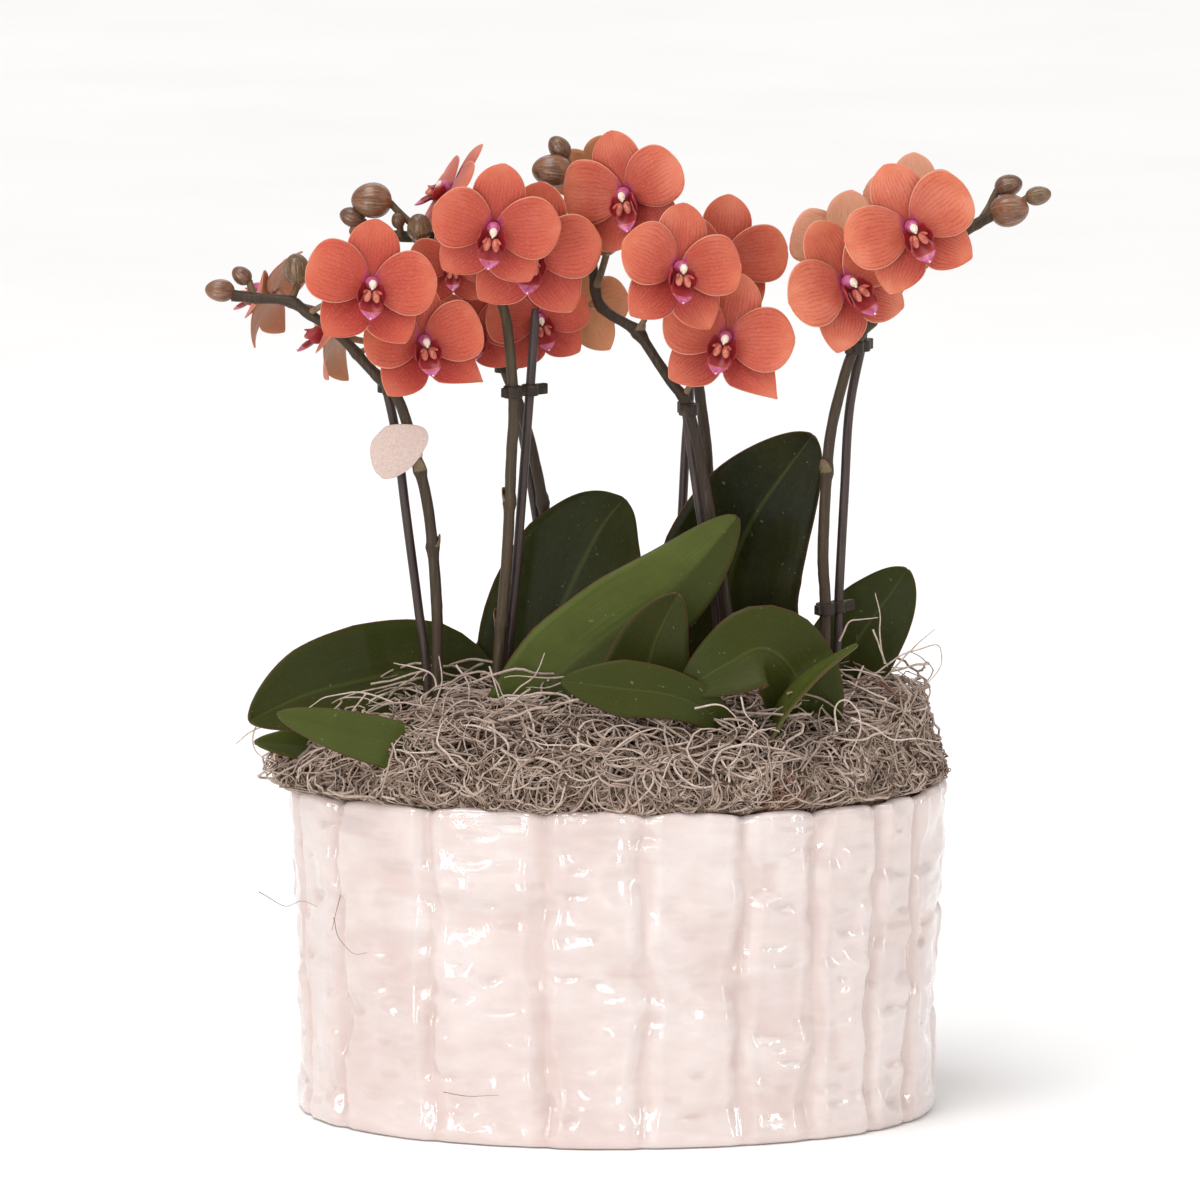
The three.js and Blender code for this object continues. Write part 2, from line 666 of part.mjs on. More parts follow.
// Sprays: each stem runs from its foot in the bark, past the clip, to its tip among the buds.
// A bloom looks along turn (to the right of the front) and tilt (upwards), and is rolled
// anticlockwise. from is where its stalk, or a bud's, leaves the stem, and via bends it clear.
const sprays = [
  {
    name: 'a',
    plant: 0,
    stem: [[-77, -25, stemFoot], [-75, -25, 198], [-76, -25, 232], [-79, -26, 262], [-85, -27, 287],
      [-91, -28, 306], [-97, -28, 313], [-104, -27, 320], [-115, -26, 332], [-128, -24, 341],
      [-136, -22, 346], [-150, -20, 347], [-160, -19, 348]],
    stake: [[-74, -11, stakeFoot], [-79, -17, 180], [-83, -19, 217], [-88, -20, 257], [-92, -21, 290],
      [-97, -21, 314]],
    clips: [310],
    buds: [
      { at: [-165, -19, 350], towards: [-1, 0, 0.1], length: 12.5, width: 9.5, from: [-159, -19, 348] },
      { at: [-156, -16, 356], towards: [-0.8, 0.1, 0.6], length: 9, width: 7.5, from: [-150, -20, 347] },
      { at: [-133, -20, 359], towards: [-0.1, 0, 1], length: 13.5, width: 11.5, from: [-136, -22, 346] },
    ],
    blooms: [
      { name: 'a1', at: [-101.8, -52, 356.2], turn: 10, tilt: 12, roll: -8, size: 1.05,
        from: [-128, -24, 341] },
      { name: 'a2', at: [-80.5, -40, 330.8], turn: 15, tilt: 10, roll: 5, size: 1,
        from: [-99, -28, 315] },
      { name: 'a3', at: [-145, 14, 344], turn: -74, tilt: -8, roll: -10, size: 0.9,
        from: [-134, -22, 345], via: [-127, 0, 340] },
      { name: 'a4', at: [-118, 8, 333], turn: -76, tilt: -5, roll: 10, size: 0.92,
        from: [-108, -27, 325], via: [-100, -8, 326] },
    ],
  },
  {
    name: 'b',
    plant: 0,
    stem: [[-53, -22, stemFoot], [-50, -22, 187], [-46, -22, 237], [-44, -22, 280], [-43, -22, 302],
      [-45, -22, 330], [-47, -21, 342], [-53, -18, 357], [-61, -16, 366], [-70, -14, 370],
      [-77, -14, 372], [-88, -14, 372], [-102, -13, 374]],
    stake: [[-53, -10, stakeFoot], [-46, -16, 187], [-42, -16, 233], [-38, -16, 285], [-35, -16, 325],
      [-34, -16, 342]],
    clips: [308],
    buds: [
      { at: [-102, -14, 387], towards: [-1, 0, 0.05], length: 17, width: 15, from: [-78, -14, 372] },
      { at: [-110, -12, 380], towards: [-0.9, 0, 0.3], length: 11, width: 8.5, from: [-100, -13, 374] },
      { at: [-82, -24, 377], towards: [-0.1, -0.3, 1], length: 12, width: 10.5, from: [-85, -14, 372] },
      { at: [-107, -13, 374], towards: [-1, 0, 0.1], length: 9, width: 7, from: [-101, -13, 374] },
      { at: [-91, -17, 379], towards: [-0.3, -0.2, 1], length: 7, width: 5.5, from: [-90, -14, 372] },
    ],
    blooms: [
      { name: 'b1', at: [-51, -50, 380], turn: 0, tilt: -8, roll: -8, size: 1.04, from: [-69, -14, 370],
        via: [-70, -32, 388] },
      { name: 'b2', at: [-35, -32, 367.7], turn: -1, tilt: 0, roll: -7, size: 1.12,
        from: [-51, -19, 352] },
      { name: 'b3', at: [-68, -27, 362], turn: 0, tilt: 0, roll: 0, size: 0.7, from: [-57, -17, 362] },
      { name: 'b4', at: [-66, -4, 395], turn: -68, tilt: 20, roll: 0, size: 0.9, from: [-61, -16, 366],
        via: [-56, -8, 380] },
    ],
  },
  {
    name: 'c',
    plant: 1,
    stem: [[-12, 22, stemFoot], [-22, 22, 187], [-29, 22, 240], [-33, 22, 265], [-39, 22, 290],
      [-46, 21, 309], [-52, 19, 325], [-56, 18, 334], [-63, 16, 344], [-71, 14, 350], [-82, 14, 353]],
    stake: [[-8, 35, stakeFoot], [-24, 28, 187], [-33, 28, 242], [-37, 28, 268], [-41, 28, 290],
      [-46, 27, 318]],
    clips: [313],
    buds: [
      { at: [-90, 15, 356], towards: [-1, 0, 0.3], length: 12, width: 9, from: [-81, 14, 353] },
    ],
    blooms: [
      { name: 'c1', at: [-60, 10, 326], turn: 8, tilt: -5, roll: 0, size: 0.84, from: [-55, 18, 334] },
      { name: 'c2', at: [-33, -3, 330], turn: 14, tilt: 0, roll: 12, size: 0.86, from: [-51, 19, 323],
        via: [-34, 17, 327] },
    ],
  },
  {
    name: 'd',
    plant: 2,
    stem: [[56, -16, stemFoot], [49, -15, 181], [45, -15, 222], [39, -15, 255], [35, -15, 278],
      [29, -17, 302], [23, -18, 311], [15, -18, 323], [9, -16, 332], [3, -14, 336], [-3, -10, 339],
      [-8, -6, 344], [-10, -4, 357], [-11, -4, 368], [-12, -6, 380], [-15, -9, 391], [-19, -11, 398]],
    stake: [[58, -5, stakeFoot], [44, -8, 180], [41, -9, 218], [35, -9, 254], [32, -9, 274],
      [28, -10, 305]],
    clips: [300],
    buds: [
      { at: [-27, -11, 399], towards: [-1, 0, 0.1], length: 17, width: 14, from: [-18, -11, 397] },
      { at: [-24, -4, 408], towards: [-0.6, 0.1, 0.8], length: 11, width: 9, from: [-18, -10, 396] },
      { at: [-5, -14, 372], towards: [-0.1, -0.1, 1], length: 16.5, width: 12.5, from: [-9, -5, 349] },
    ],
    blooms: [
      { name: 'd1', at: [45, -40, 332], turn: -5, tilt: 12, roll: -12, size: 1.07,
        from: [27, -17, 305] },
      { name: 'd2', at: [24.6, -52, 362.7], turn: 22, tilt: 12, roll: -12, size: 1.06,
        from: [9, -16, 332] },
      { name: 'd4', at: [4, -30, 391.7], turn: -20, tilt: -2, roll: 16, size: 1.02,
        from: [-11, -4, 366] },
      { name: 'd5', at: [-16, 18, 338], turn: 170, tilt: 0, roll: 0, size: 0.82, from: [-6, -7, 342] },
      { name: 'd6', at: [-6, 8, 391], turn: 165, tilt: 10, roll: 0, size: 0.82, from: [-13, -8, 386] },
    ],
  },
  {
    name: 'e',
    plant: 2,
    stem: [[84, -18, stemFoot], [87, -18, 206], [86, -18, 237], [87, -18, 267], [89, -18, 290],
      [94, -18, 312], [98, -18, 324], [103, -18, 334], [116, -15, 349], [127, -13, 360],
      [137, -12, 368], [148, -12, 376], [156, -12, 381]],
    stake: [[80, -8, stakeFoot], [91, -12, 182], [93, -12, 225], [95, -12, 265], [97, -12, 300],
      [103, -11, 331]],
    clips: [216, 326],
    buds: [
      { at: [163, -12, 383], towards: [1, 0, 0.1], length: 16.5, width: 14, from: [154, -12, 380] },
      { at: [163, -4, 392], towards: [0.9, 0.1, 0.3], length: 12, width: 9.5, from: [150, -12, 377] },
      { at: [175, -12, 389], towards: [1, 0, 0.2], length: 11, width: 8, from: [156, -12, 381] },
    ],
    blooms: [
      { name: 'e1', at: [94, -45, 356], turn: 26, tilt: 12, roll: 25, size: 1.09,
        from: [105, -17, 337] },
      { name: 'e2', at: [120.8, -52, 380], turn: 7, tilt: 7, roll: 23, size: 1.07,
        from: [127, -13, 360] },
      { name: 'e3', at: [124, 10, 382], turn: 165, tilt: 5, roll: 0, size: 0.86, from: [140, -12, 370] },
      { name: 'e4', at: [96, 0, 366], turn: -165, tilt: 8, roll: 0, size: 0.92, from: [114, -15, 347] },
    ],
  },
  {
    name: 'f',
    plant: 1,
    stem: [[16, 20, stemFoot], [27, 21, 175], [34, 21, 218], [38, 20, 250], [38, 20, 275],
      [35, 20, 300], [33, 18, 318], [31, 16, 342], [26, 14, 362], [20, 12, 374]],
    stake: [[10, 32, stakeFoot], [22, 28, 174], [27, 28, 240], [29, 28, 278], [31, 27, 304]],
    clips: [236],
    buds: [
      { at: [14, 14, 382], towards: [-1, 0, 0.6], length: 12, width: 9, from: [21, 12, 373] },
    ],
    blooms: [
      { name: 'f1', at: [44, -12, 363], turn: 12, tilt: 5, roll: -5, size: 1, from: [32, 17, 335] },
    ],
  },
];

// Whole arrangement

const finishes = Object.fromEntries(Object.entries(colours).map(([name, colour]) => {
  const roughness = name === 'glaze' ? 0.15 : 0.55;
  return [name, new THREE.MeshStandardMaterial({ color: colour, roughness, metalness: 0 })];
}));

const arrangement = new THREE.Group();

function place(name, solid, finish) {
  const mesh = new THREE.Mesh(geometryOf(solid), finishes[finish]);
  mesh.name = name;
  arrangement.add(mesh);
}

function bloomNodes() {
  const geometry = bloomGeometry();
  sprays.flatMap((spray) => spray.blooms).forEach((bloom) => {
    arrangement.add(bloomMesh({ ...bloom, name: `bloom_${bloom.name}` }, geometry, finishes.bloom));
  });
}

place('planter', planterSolid(plants), 'glaze');

plants.forEach((plant, index) => {
  const own = sprays.filter((spray) => spray.plant === index);
  const holes = [
    crownSolid(plant.at, 0.45),
    ...rootSolids(plant.at, 0.45),
    wickSolid(plant.pot, 0.4),
    ...own.map(stemCutter),
    ...own.map((spray) => stakeSolid(spray, 0.5)),
  ];
  place(`nursery_pot_${plant.name}`, nurseryPot(plant.pot), 'pot');
  place(`bark_${plant.name}`, barkFill(plant.pot, holes), 'bark');
  place(`wick_${plant.name}`, wickSolid(plant.pot, 0), 'wick');
  place(`foliage_${plant.name}`, foliage(plant), 'leaf');
});

place('moss', mossSolid([
  ...plants.map(({ well }) => mossWell(well)),
  ...plants.flatMap(({ leaves }) => leaves.map((leaf) => leafSolid(leaf, 1.2))),
]), 'moss');

sprays.forEach((spray) => {
  const cutters = [stemCutter(spray), stakeSolid(spray, 0.45)];
  place(`spray_${spray.name}`, spraySolid(spray), 'stem');
  place(`stake_${spray.name}`, stakeSolid(spray), 'stake');
  spray.clips.forEach((height, i) => {
    place(`clip_${spray.name}${i + 1}`, clipSolid(spray, height, cutters), 'clip');
  });
});

place('tag', tagSolid(sprays[0], 283), 'tag');
bloomNodes();

export default arrangement;
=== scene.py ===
import math

import bpy
import numpy as np
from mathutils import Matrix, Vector


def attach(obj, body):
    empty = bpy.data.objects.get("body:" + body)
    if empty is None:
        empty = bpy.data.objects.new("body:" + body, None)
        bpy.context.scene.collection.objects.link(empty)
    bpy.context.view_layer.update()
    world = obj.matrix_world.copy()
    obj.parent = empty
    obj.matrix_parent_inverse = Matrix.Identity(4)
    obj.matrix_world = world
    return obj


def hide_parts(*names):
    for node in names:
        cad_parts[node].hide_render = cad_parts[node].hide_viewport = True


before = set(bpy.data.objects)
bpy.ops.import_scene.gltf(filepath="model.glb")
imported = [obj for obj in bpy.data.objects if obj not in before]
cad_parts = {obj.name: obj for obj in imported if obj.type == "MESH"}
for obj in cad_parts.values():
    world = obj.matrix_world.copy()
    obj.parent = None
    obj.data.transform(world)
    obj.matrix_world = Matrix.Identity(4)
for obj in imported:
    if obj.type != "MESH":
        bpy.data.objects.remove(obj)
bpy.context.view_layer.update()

# Miniature moth orchids in an oval fluted planter. Lengths are millimetres until a mesh is made.
millimetre = 0.001
scene = bpy.context.scene
scene.view_settings.view_transform = "Standard"


# Small tools

def colour(code):
    parts = [int(code[i:i + 2], 16) / 255 for i in (0, 2, 4)]
    linear = [p / 12.92 if p <= 0.04045 else ((p + 0.055) / 1.055) ** 2.4 for p in parts]
    return (*linear, 1.0)


def unit(vectors):
    return vectors / np.maximum(np.linalg.norm(vectors, axis=-1, keepdims=True), 1e-9)


def smoothStep(x):
    x = np.clip(x, 0, 1)
    return x * x * (3 - 2 * x)


def smoothPath(points, step):
    points = np.array(points, float)
    ends = np.vstack([2 * points[0] - points[1], points, 2 * points[-1] - points[-2]])
    t = np.linspace(0, 1, 24, endpoint=False)[:, None]
    dense = []
    for a, b, c, d in zip(ends, ends[1:], ends[2:], ends[3:]):
        dense.append(b + 0.5 * t * (c - a + t * (2 * a - 5 * b + 4 * c - d + t * (3 * (b - c) + d - a))))
    dense = np.vstack(dense + [points[-1:]])
    runs = np.concatenate([[0], np.cumsum(np.linalg.norm(np.diff(dense, axis=0), axis=1))])
    places = np.linspace(0, runs[-1], max(3, int(runs[-1] / step) + 1))
    return np.column_stack([np.interp(places, runs, dense[:, k]) for k in range(3)])


def named(words, row):  # a row of a table with its words, and what is special about it at the end
    return {**dict(zip(words, row)), **(row[len(words)] if len(row) > len(words) else {})}


def pointAt(points, height):
    line = smoothPath(points, 1)
    return line[np.argmin(np.abs(line[:, 2] - height))]


working = {}  # the node tree and the shader that the helpers below add to


def addNode(kind, inputs=None, **settings):
    node = working["tree"].nodes.new(kind)
    for key, value in settings.items():
        setattr(node, key, value)
    for key, value in (inputs or {}).items():
        if isinstance(value, bpy.types.Node):
            value = value.outputs[0]
        if isinstance(value, bpy.types.NodeSocket):
            working["tree"].links.new(value, node.inputs[key])
        else:
            node.inputs[key].default_value = value
    return node


def addObject(name, data):
    thing = bpy.data.objects.new(name, data)
    scene.collection.objects.link(thing)
    return thing


def storeNumbers(mesh, name, values):
    mesh.attributes.new(name, "FLOAT", "POINT").data.foreach_set("value", values)


# Building blocks for meshes: a part is a dictionary of points, faces and what the materials read

def makePart(points, faces, uv, side=1.0, tone=0.0, material=0):
    count = len(points)
    return {
        "points": np.asarray(points, float), "faces": faces, "uv": np.asarray(uv, float),
        "side": np.broadcast_to(side, count).astype(float),
        "tone": np.broadcast_to(tone, count).astype(float),
        "material": np.full(len(faces), material),
    }


def joinParts(parts):
    whole, offset, faces = {}, 0, []
    for part in parts:
        faces += [[i + offset for i in face] for face in part["faces"]]
        offset += len(part["points"])
    for key in ("points", "uv", "side", "tone", "material"):
        whole[key] = np.concatenate([part[key] for part in parts])
    whole["faces"] = faces
    return whole


def finishPart(name, part, materials):
    mesh = bpy.data.meshes.new(name)
    mesh.from_pydata((part["points"] * millimetre).tolist(), [], part["faces"])
    for material in materials:
        mesh.materials.append(material)
    mesh.polygons.foreach_set("material_index", part["material"].astype(np.int32))
    mesh.polygons.foreach_set("use_smooth", np.ones(len(part["faces"]), bool))
    corners = np.empty(len(mesh.loops), np.int32)
    mesh.loops.foreach_get("vertex_index", corners)
    mesh.uv_layers.new(name="surface").data.foreach_set("uv", part["uv"][corners].ravel())
    for key in ("side", "tone"):
        storeNumbers(mesh, key, part[key])
    return addObject(name, mesh)


def sheet(grid, thickness, material=0, tone=0.0, edge=0.3):
    rows, columns = grid.shape[:2]
    normals = unit(np.cross(np.gradient(grid, axis=1), np.gradient(grid, axis=0)))
    u = np.broadcast_to(np.linspace(-1, 1, columns)[None, :], (rows, columns))
    v = np.broadcast_to(np.linspace(0, 1, rows)[:, None], (rows, columns))
    thin = np.maximum(np.abs(u) ** 8, v ** 16)
    half = (thickness / 2 * (1 - (1 - edge) * thin))[..., None]
    points = np.concatenate([(grid + normals * way * half).reshape(-1, 3) for way in (1, -1)])
    count = rows * columns
    index = np.arange(count).reshape(rows, columns)
    front = np.stack([index[:-1, :-1], index[:-1, 1:], index[1:, 1:], index[1:, :-1]], -1).reshape(-1, 4)
    loop = np.concatenate([index[0], index[1:, -1], index[-1, -2::-1], index[-2:0:-1, 0]])
    after = np.roll(loop, -1)
    rim = np.stack([after, loop, loop + count, after + count], -1)
    faces = np.concatenate([front, front[:, ::-1] + count, rim]).tolist()
    uv = np.tile(np.column_stack([(u.ravel() + 1) / 2, v.ravel()]), (2, 1))
    side = np.repeat([1.0, 0.0], count)
    return makePart(points, faces, uv, side, tone, material)


def tubeRings(rings, material=0, tone=0.0, closed=True):
    count, around = rings.shape[:2]
    index = np.arange(count * around).reshape(count, around)
    low, high = index[:-1], index[1:]
    faces = np.stack([low, np.roll(low, -1, 1), np.roll(high, -1, 1), high], -1).reshape(-1, 4).tolist()
    points = rings.reshape(-1, 3)
    u, v = np.linspace(0, 1, around), np.linspace(0, 1, count)
    uv = np.column_stack([np.tile(u, count), np.repeat(v, around)])
    if closed:
        bottom, top = len(points), len(points) + 1
        points = np.vstack([points, rings[0].mean(0), rings[-1].mean(0)])
        uv = np.vstack([uv, [0.5, 0], [0.5, 1]])
        for i in range(around):
            j = (i + 1) % around
            faces.append([bottom, int(index[0, j]), int(index[0, i])])
            faces.append([top, int(index[-1, i]), int(index[-1, j])])
    return makePart(points, faces, uv, 1.0, tone, material)


def ball(centre, axes, material=0, tone=0.0, rows=9, around=14, shape=None):
    latitude = np.linspace(-math.pi / 2, math.pi / 2, rows + 2)
    latitude[[0, -1]] *= 0.97  # the poles are closed by a small fan
    longitude = np.arange(around) * 2 * math.pi / around
    lat, lon = np.meshgrid(latitude, longitude, indexing="ij")
    swell = 1.0 if shape is None else shape(lat, lon)
    out = np.cos(lat) * swell
    local = np.stack([np.cos(lon) * out, np.sin(lon) * out, np.sin(lat)], -1)
    return tubeRings(local @ np.asarray(axes, float) + np.asarray(centre, float), material, tone)


def axesAlong(direction, width, length):
    third = unit(np.asarray(direction, float))
    first = unit(np.cross([0.3, -0.9, 0.2], third))
    second = np.cross(third, first)
    return np.array([first * width / 2, second * width / 2, third * length / 2])


# Geometry Nodes helpers: a node given as an input stands for its first output

def newTree(name, inputs):
    tree = bpy.data.node_groups.new(name, "GeometryNodeTree")
    working["tree"] = tree
    tree.interface.new_socket("Geometry", in_out="INPUT", socket_type="NodeSocketGeometry")
    for label, (kind, value) in inputs.items():
        socket = tree.interface.new_socket(label, in_out="INPUT", socket_type=f"NodeSocket{kind}")
        if value is not None:
            socket.default_value = value
    tree.interface.new_socket("Geometry", in_out="OUTPUT", socket_type="NodeSocketGeometry")
    return tree, addNode("NodeGroupInput").outputs


def geometry(kind, inputs=None, **settings):
    return addNode(f"GeometryNode{kind}", inputs, **settings)


def vector(operation, first, second):
    return addNode("ShaderNodeVectorMath", {0: first, "Scale" if operation == "SCALE" else 1: second},
                   operation=operation)


def jitterNoise(amount, inputs, **settings):
    pushes = addNode("ShaderNodeTexNoise", inputs, **settings).outputs["Color"]
    return vector("SCALE", vector("SUBTRACT", pushes, (0.5, 0.5, 0.5)), amount)


def sweep(line, sides, width):
    profile = geometry("CurvePrimitiveCircle", {"Resolution": sides, "Radius": 1.0})
    return geometry("CurveToMesh", {
        "Curve": line, "Profile Curve": profile, "Scale": width, "Fill Caps": True})


def closeTree(solid, material):
    smooth = geometry("SetShadeSmooth", {"Geometry": solid})
    real = addNode("GeometryNodeRealizeInstances", {"Geometry": smooth})
    painted = addNode("GeometryNodeSetMaterial", {"Geometry": real, "Material": material})
    addNode("NodeGroupOutput", {"Geometry": painted})


def runTree(piece, tree, values):
    modifier = piece.modifiers.new(tree.name, "NODES")
    modifier.node_group = tree
    for item in tree.interface.items_tree:
        if item.in_out == "INPUT" and item.name in values:
            modifier[item.identifier] = values[item.name]
    mesh = bpy.data.meshes.new_from_object(piece.evaluated_get(bpy.context.evaluated_depsgraph_get()))
    piece.modifiers.clear()
    piece.data = mesh
    return piece


def tubesTree():
    tree, inputs = newTree("tubesAlongPaths", {
        "Sides": ("Int", 10), "Thickness": ("Float", 1.0), "Lumps": ("Float", 0.0),
        "Lump Size": ("Float", 200.0), "Material": ("Material", None)})
    girth = geometry("InputNamedAttribute", {"Name": "girth"}, data_type="FLOAT")
    line = geometry("MeshToCurve", {"Mesh": inputs["Geometry"]})
    tube = sweep(line, inputs["Sides"], times(girth, inputs["Thickness"]))
    push = jitterNoise(inputs["Lumps"], {"Scale": inputs["Lump Size"], "Detail": 2.0})
    moved = geometry("SetPosition", {"Geometry": tube, "Offset": push})
    closeTree(moved, inputs["Material"])
    return tree


def tubes(name, paths, material, **values):
    points, edges, girths, tones = [], [], [], []
    for line, girth, tone in paths:
        start = sum(len(p) for p in points)
        points.append(line * millimetre)
        edges += [(start + i, start + i + 1) for i in range(len(line) - 1)]
        girths.append(np.broadcast_to(girth, len(line)) * millimetre)
        tones.append(np.broadcast_to(tone, len(line)))
    mesh = bpy.data.meshes.new(name)
    mesh.from_pydata(np.vstack(points).tolist(), edges, [])
    storeNumbers(mesh, "girth", np.concatenate(girths))
    storeNumbers(mesh, "tone", np.concatenate(tones))
    return runTree(addObject(name, mesh), pathTree, {"Material": material, **values})


# Material helpers

def newMaterial(name, **values):
    material = bpy.data.materials.new(name)
    material.use_nodes = True
    working["tree"] = material.node_tree
    working["shader"] = material.node_tree.nodes["Principled BSDF"]
    for key, value in values.items():
        label = " ".join(word.capitalize() for word in key.split("_")).replace("Ior", "IOR")
        working["shader"].inputs[label].default_value = value
    return material


def objectPoint(scale=(1, 1, 1)):
    where = addNode("ShaderNodeTexCoord").outputs["Object"]
    return addNode("ShaderNodeMapping", {"Vector": where, "Scale": scale}).outputs[0]


def surfacePoint(scale=(1, 1, 1)):
    where = addNode("ShaderNodeUVMap", uv_map="surface").outputs[0]
    return addNode("ShaderNodeMapping", {"Vector": where, "Scale": scale}).outputs[0]


def readNumber(name):
    return addNode("ShaderNodeAttribute", attribute_name=name).outputs["Fac"]


def texture(where, scale, detail=3.0, roughness=0.55):
    return addNode("ShaderNodeTexNoise", {
        "Vector": where, "Scale": scale, "Detail": detail, "Roughness": roughness}).outputs["Fac"]


def noise(scale, detail=3.0, roughness=0.55, axes=(1, 1, 1)):
    return texture(objectPoint(axes), scale, detail, roughness)


def surfaceNoise(axes, *values):
    return texture(surfacePoint(axes), *values)


def maths(operation, first, second=0.0):
    return addNode("ShaderNodeMath", {0: first, 1: second}, operation=operation).outputs[0]


def stretch(value, low, high, toLow=0.0, toHigh=1.0):
    return addNode("ShaderNodeMapRange", {0: value, 1: low, 2: high, 3: toLow, 4: toHigh},
                   interpolation_type="SMOOTHSTEP").outputs[0]


def times(first, second):
    return maths("MULTIPLY", first, second)


def plus(first, second):
    return maths("ADD", first, second)


def blend(share, *colours):
    first, second = [colour(value) if isinstance(value, str) else value for value in colours]
    return addNode("ShaderNodeMix", {0: share, 6: first, 7: second}, data_type="RGBA").outputs[2]


def ramp(value, stops):
    node = addNode("ShaderNodeValToRGB", {"Fac": value})
    for i, (place, code) in enumerate(stops):
        stop = node.color_ramp.elements[i] if i < 2 else node.color_ramp.elements.new(place)
        stop.position, stop.color = place, colour(code)
    return node.outputs["Color"]


def paint(value, socket="Base Color"):
    working["tree"].links.new(value, working["shader"].inputs[socket])


def finished(material, skin, height, strength, distance):
    paint(skin)
    bump = addNode("ShaderNodeBump", {"Strength": strength, "Distance": distance, "Height": height})
    paint(bump.outputs[0], "Normal")
    return material


def grainMaterial(name, grain, stops, bump, axes=(1, 1, 1), **values):
    material = newMaterial(name, **values)
    height = noise(*grain, axes=axes)
    return finished(material, ramp(height, stops), height, *bump)


pathTree = tubesTree()


# Camera, floor and light

cameraSettings = {"target": (-7.1, 0, 216.9), "distance": 4000, "elevation": 9, "lens": 286}
lightSettings = {
    "world": 0.56, "sun": 1.6, "sunAngle": 34, "sunAim": (0.3, 0.32, -1.0),
    "strips": [  # place, width, height, watts
        ((-1250, -1500, 440), 50, 880, 2.6),
        ((-1120, -1600, 440), 50, 880, 2.6),
        ((-430, -1950, 440), 40, 700, 1.4),
        ((-330, -1970, 440), 40, 700, 1.4),
        ((1500, -1300, 440), 70, 800, 2.2),
    ],
    "softboxes": [
        ((-950, -1900, 900), 600, 700, 2.2),
        ((1500, -900, 1300), 1200, 1200, 4.5),
        ((200, 1700, 1500), 1500, 900, 5),
    ],
}


def aimAt(thing, place, target):
    thing.location = Vector(place) * millimetre
    direction = Vector(target) * millimetre - thing.location
    thing.rotation_euler = direction.to_track_quat("-Z", "Y").to_euler()


def addLight(name, kind, **values):
    lamp = bpy.data.lights.new(name, kind)
    for key, value in values.items():
        setattr(lamp, key, value)
    return addObject(name, lamp)


def setTheScene():
    view = bpy.data.cameras.new("camera")
    view.lens, view.sensor_width, view.clip_end = cameraSettings["lens"], 36, 100
    camera = addObject("camera", view)
    rise = math.radians(cameraSettings["elevation"])
    target, away = Vector(cameraSettings["target"]), cameraSettings["distance"]
    aimAt(camera, target + Vector((0, -math.cos(rise), math.sin(rise))) * away, target)
    scene.camera = camera

    world = bpy.data.worlds.new("studio")
    world.use_nodes = True
    background = world.node_tree.nodes["Background"].inputs
    background["Color"].default_value = (1, 1, 1, 1)
    background["Strength"].default_value = lightSettings["world"]
    scene.world = world
    spread = math.radians(lightSettings["sunAngle"])
    sun = addLight("sun", "SUN", energy=lightSettings["sun"], angle=spread)
    aimAt(sun, (0, 0, 1000), Vector((0, 0, 1000)) + Vector(lightSettings["sunAim"]))
    for kind in ("strips", "softboxes"):
        for number, (place, width, height, watts) in enumerate(lightSettings[kind]):
            lamp = addLight(f"{kind}{number}", "AREA", energy=watts, shape="RECTANGLE",
                            size=width * millimetre, size_y=height * millimetre)
            aimAt(lamp, place, (0, 0, 150))

    material = newMaterial("floorPaint", roughness=0.9, specular_ior_level=0.1)
    paint(ramp(noise(3.0), [(0.3, "f8f7f6"), (0.7, "fcfbfa")]))
    half = 30.0  # metres
    corners = [(-half, -half, 0), (half, -half, 0), (half, half, 0), (-half, half, 0)]
    mesh = bpy.data.meshes.new("floor")
    mesh.from_pydata(corners, [], [(0, 1, 2, 3)])
    mesh.materials.append(material)
    addObject("floor", mesh)


def place(piece, slot, *nodes):
    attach(piece, "root")
    if nodes:
        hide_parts(*nodes)


setTheScene()
print("camera, floor and light are set")


# Planter: oval, fluted, with hand-pressed bulges and small lens-shaped dents under a thick glaze

planter = {
    "halfLength": 137, "halfDepth": 89.5, "height": 140.5, "wall": 5.5, "floor": 7,
    "taper": 0.963, "foot": 1.9, "creaseDepth": 1.7, "creaseWidth": 3.2, "crestRise": 0.9, "rib": 0.6,
    "rimWave": 2.4, "perDegree": 1.95,  # how many millimetres a degree of the outside is, on average
    "creases": [-24, -37.7, -52.6, -67.4, -85.1, -103.2, -125.2, -148.8, -166, -186, -208,
                -229, -250, -270, -290, -311, -332, -364],
    "bulge": 1.5, "bulgeHeight": 15, "lumps": 1.5, "lumpSize": (9, 6),
    "dents": 11, "dentLength": (4, 10), "dentHeight": (1.5, 3.0), "columns": 760, "rows": 120, "seed": 4,
}


def fluteShare(degrees):
    creases = np.array(planter["creases"] + [planter["creases"][0] - 360], float)
    turned = creases[0] - np.mod(creases[0] - degrees, 360)
    number = np.clip(np.searchsorted(-creases, -turned, side="right") - 1, 0, len(creases) - 2)
    width = creases[number] - creases[number + 1]
    return number, (creases[number] - turned) / width, width


def lumps(random, degrees, height):
    long, tall = planter["lumpSize"]
    cells, levels = int(720 / long), int(planter["height"] / tall) + 3
    heights = random.uniform(-1, 1, (levels, cells))
    heights = np.sign(heights) * np.maximum(np.abs(heights) - 0.35, 0)  # flats stay between the lumps
    x, z = np.mod(degrees / 360 * cells, cells), height / tall + 1
    column, row = np.floor(x).astype(int), np.clip(np.floor(z).astype(int), 0, levels - 2)
    across, up = smoothStep(x - column), smoothStep(z - row)
    after = (column + 1) % cells
    column = column % cells
    low = heights[row, column] * (1 - across) + heights[row, after] * across
    high = heights[row + 1, column] * (1 - across) + heights[row + 1, after] * across
    return low * (1 - up) + high * up


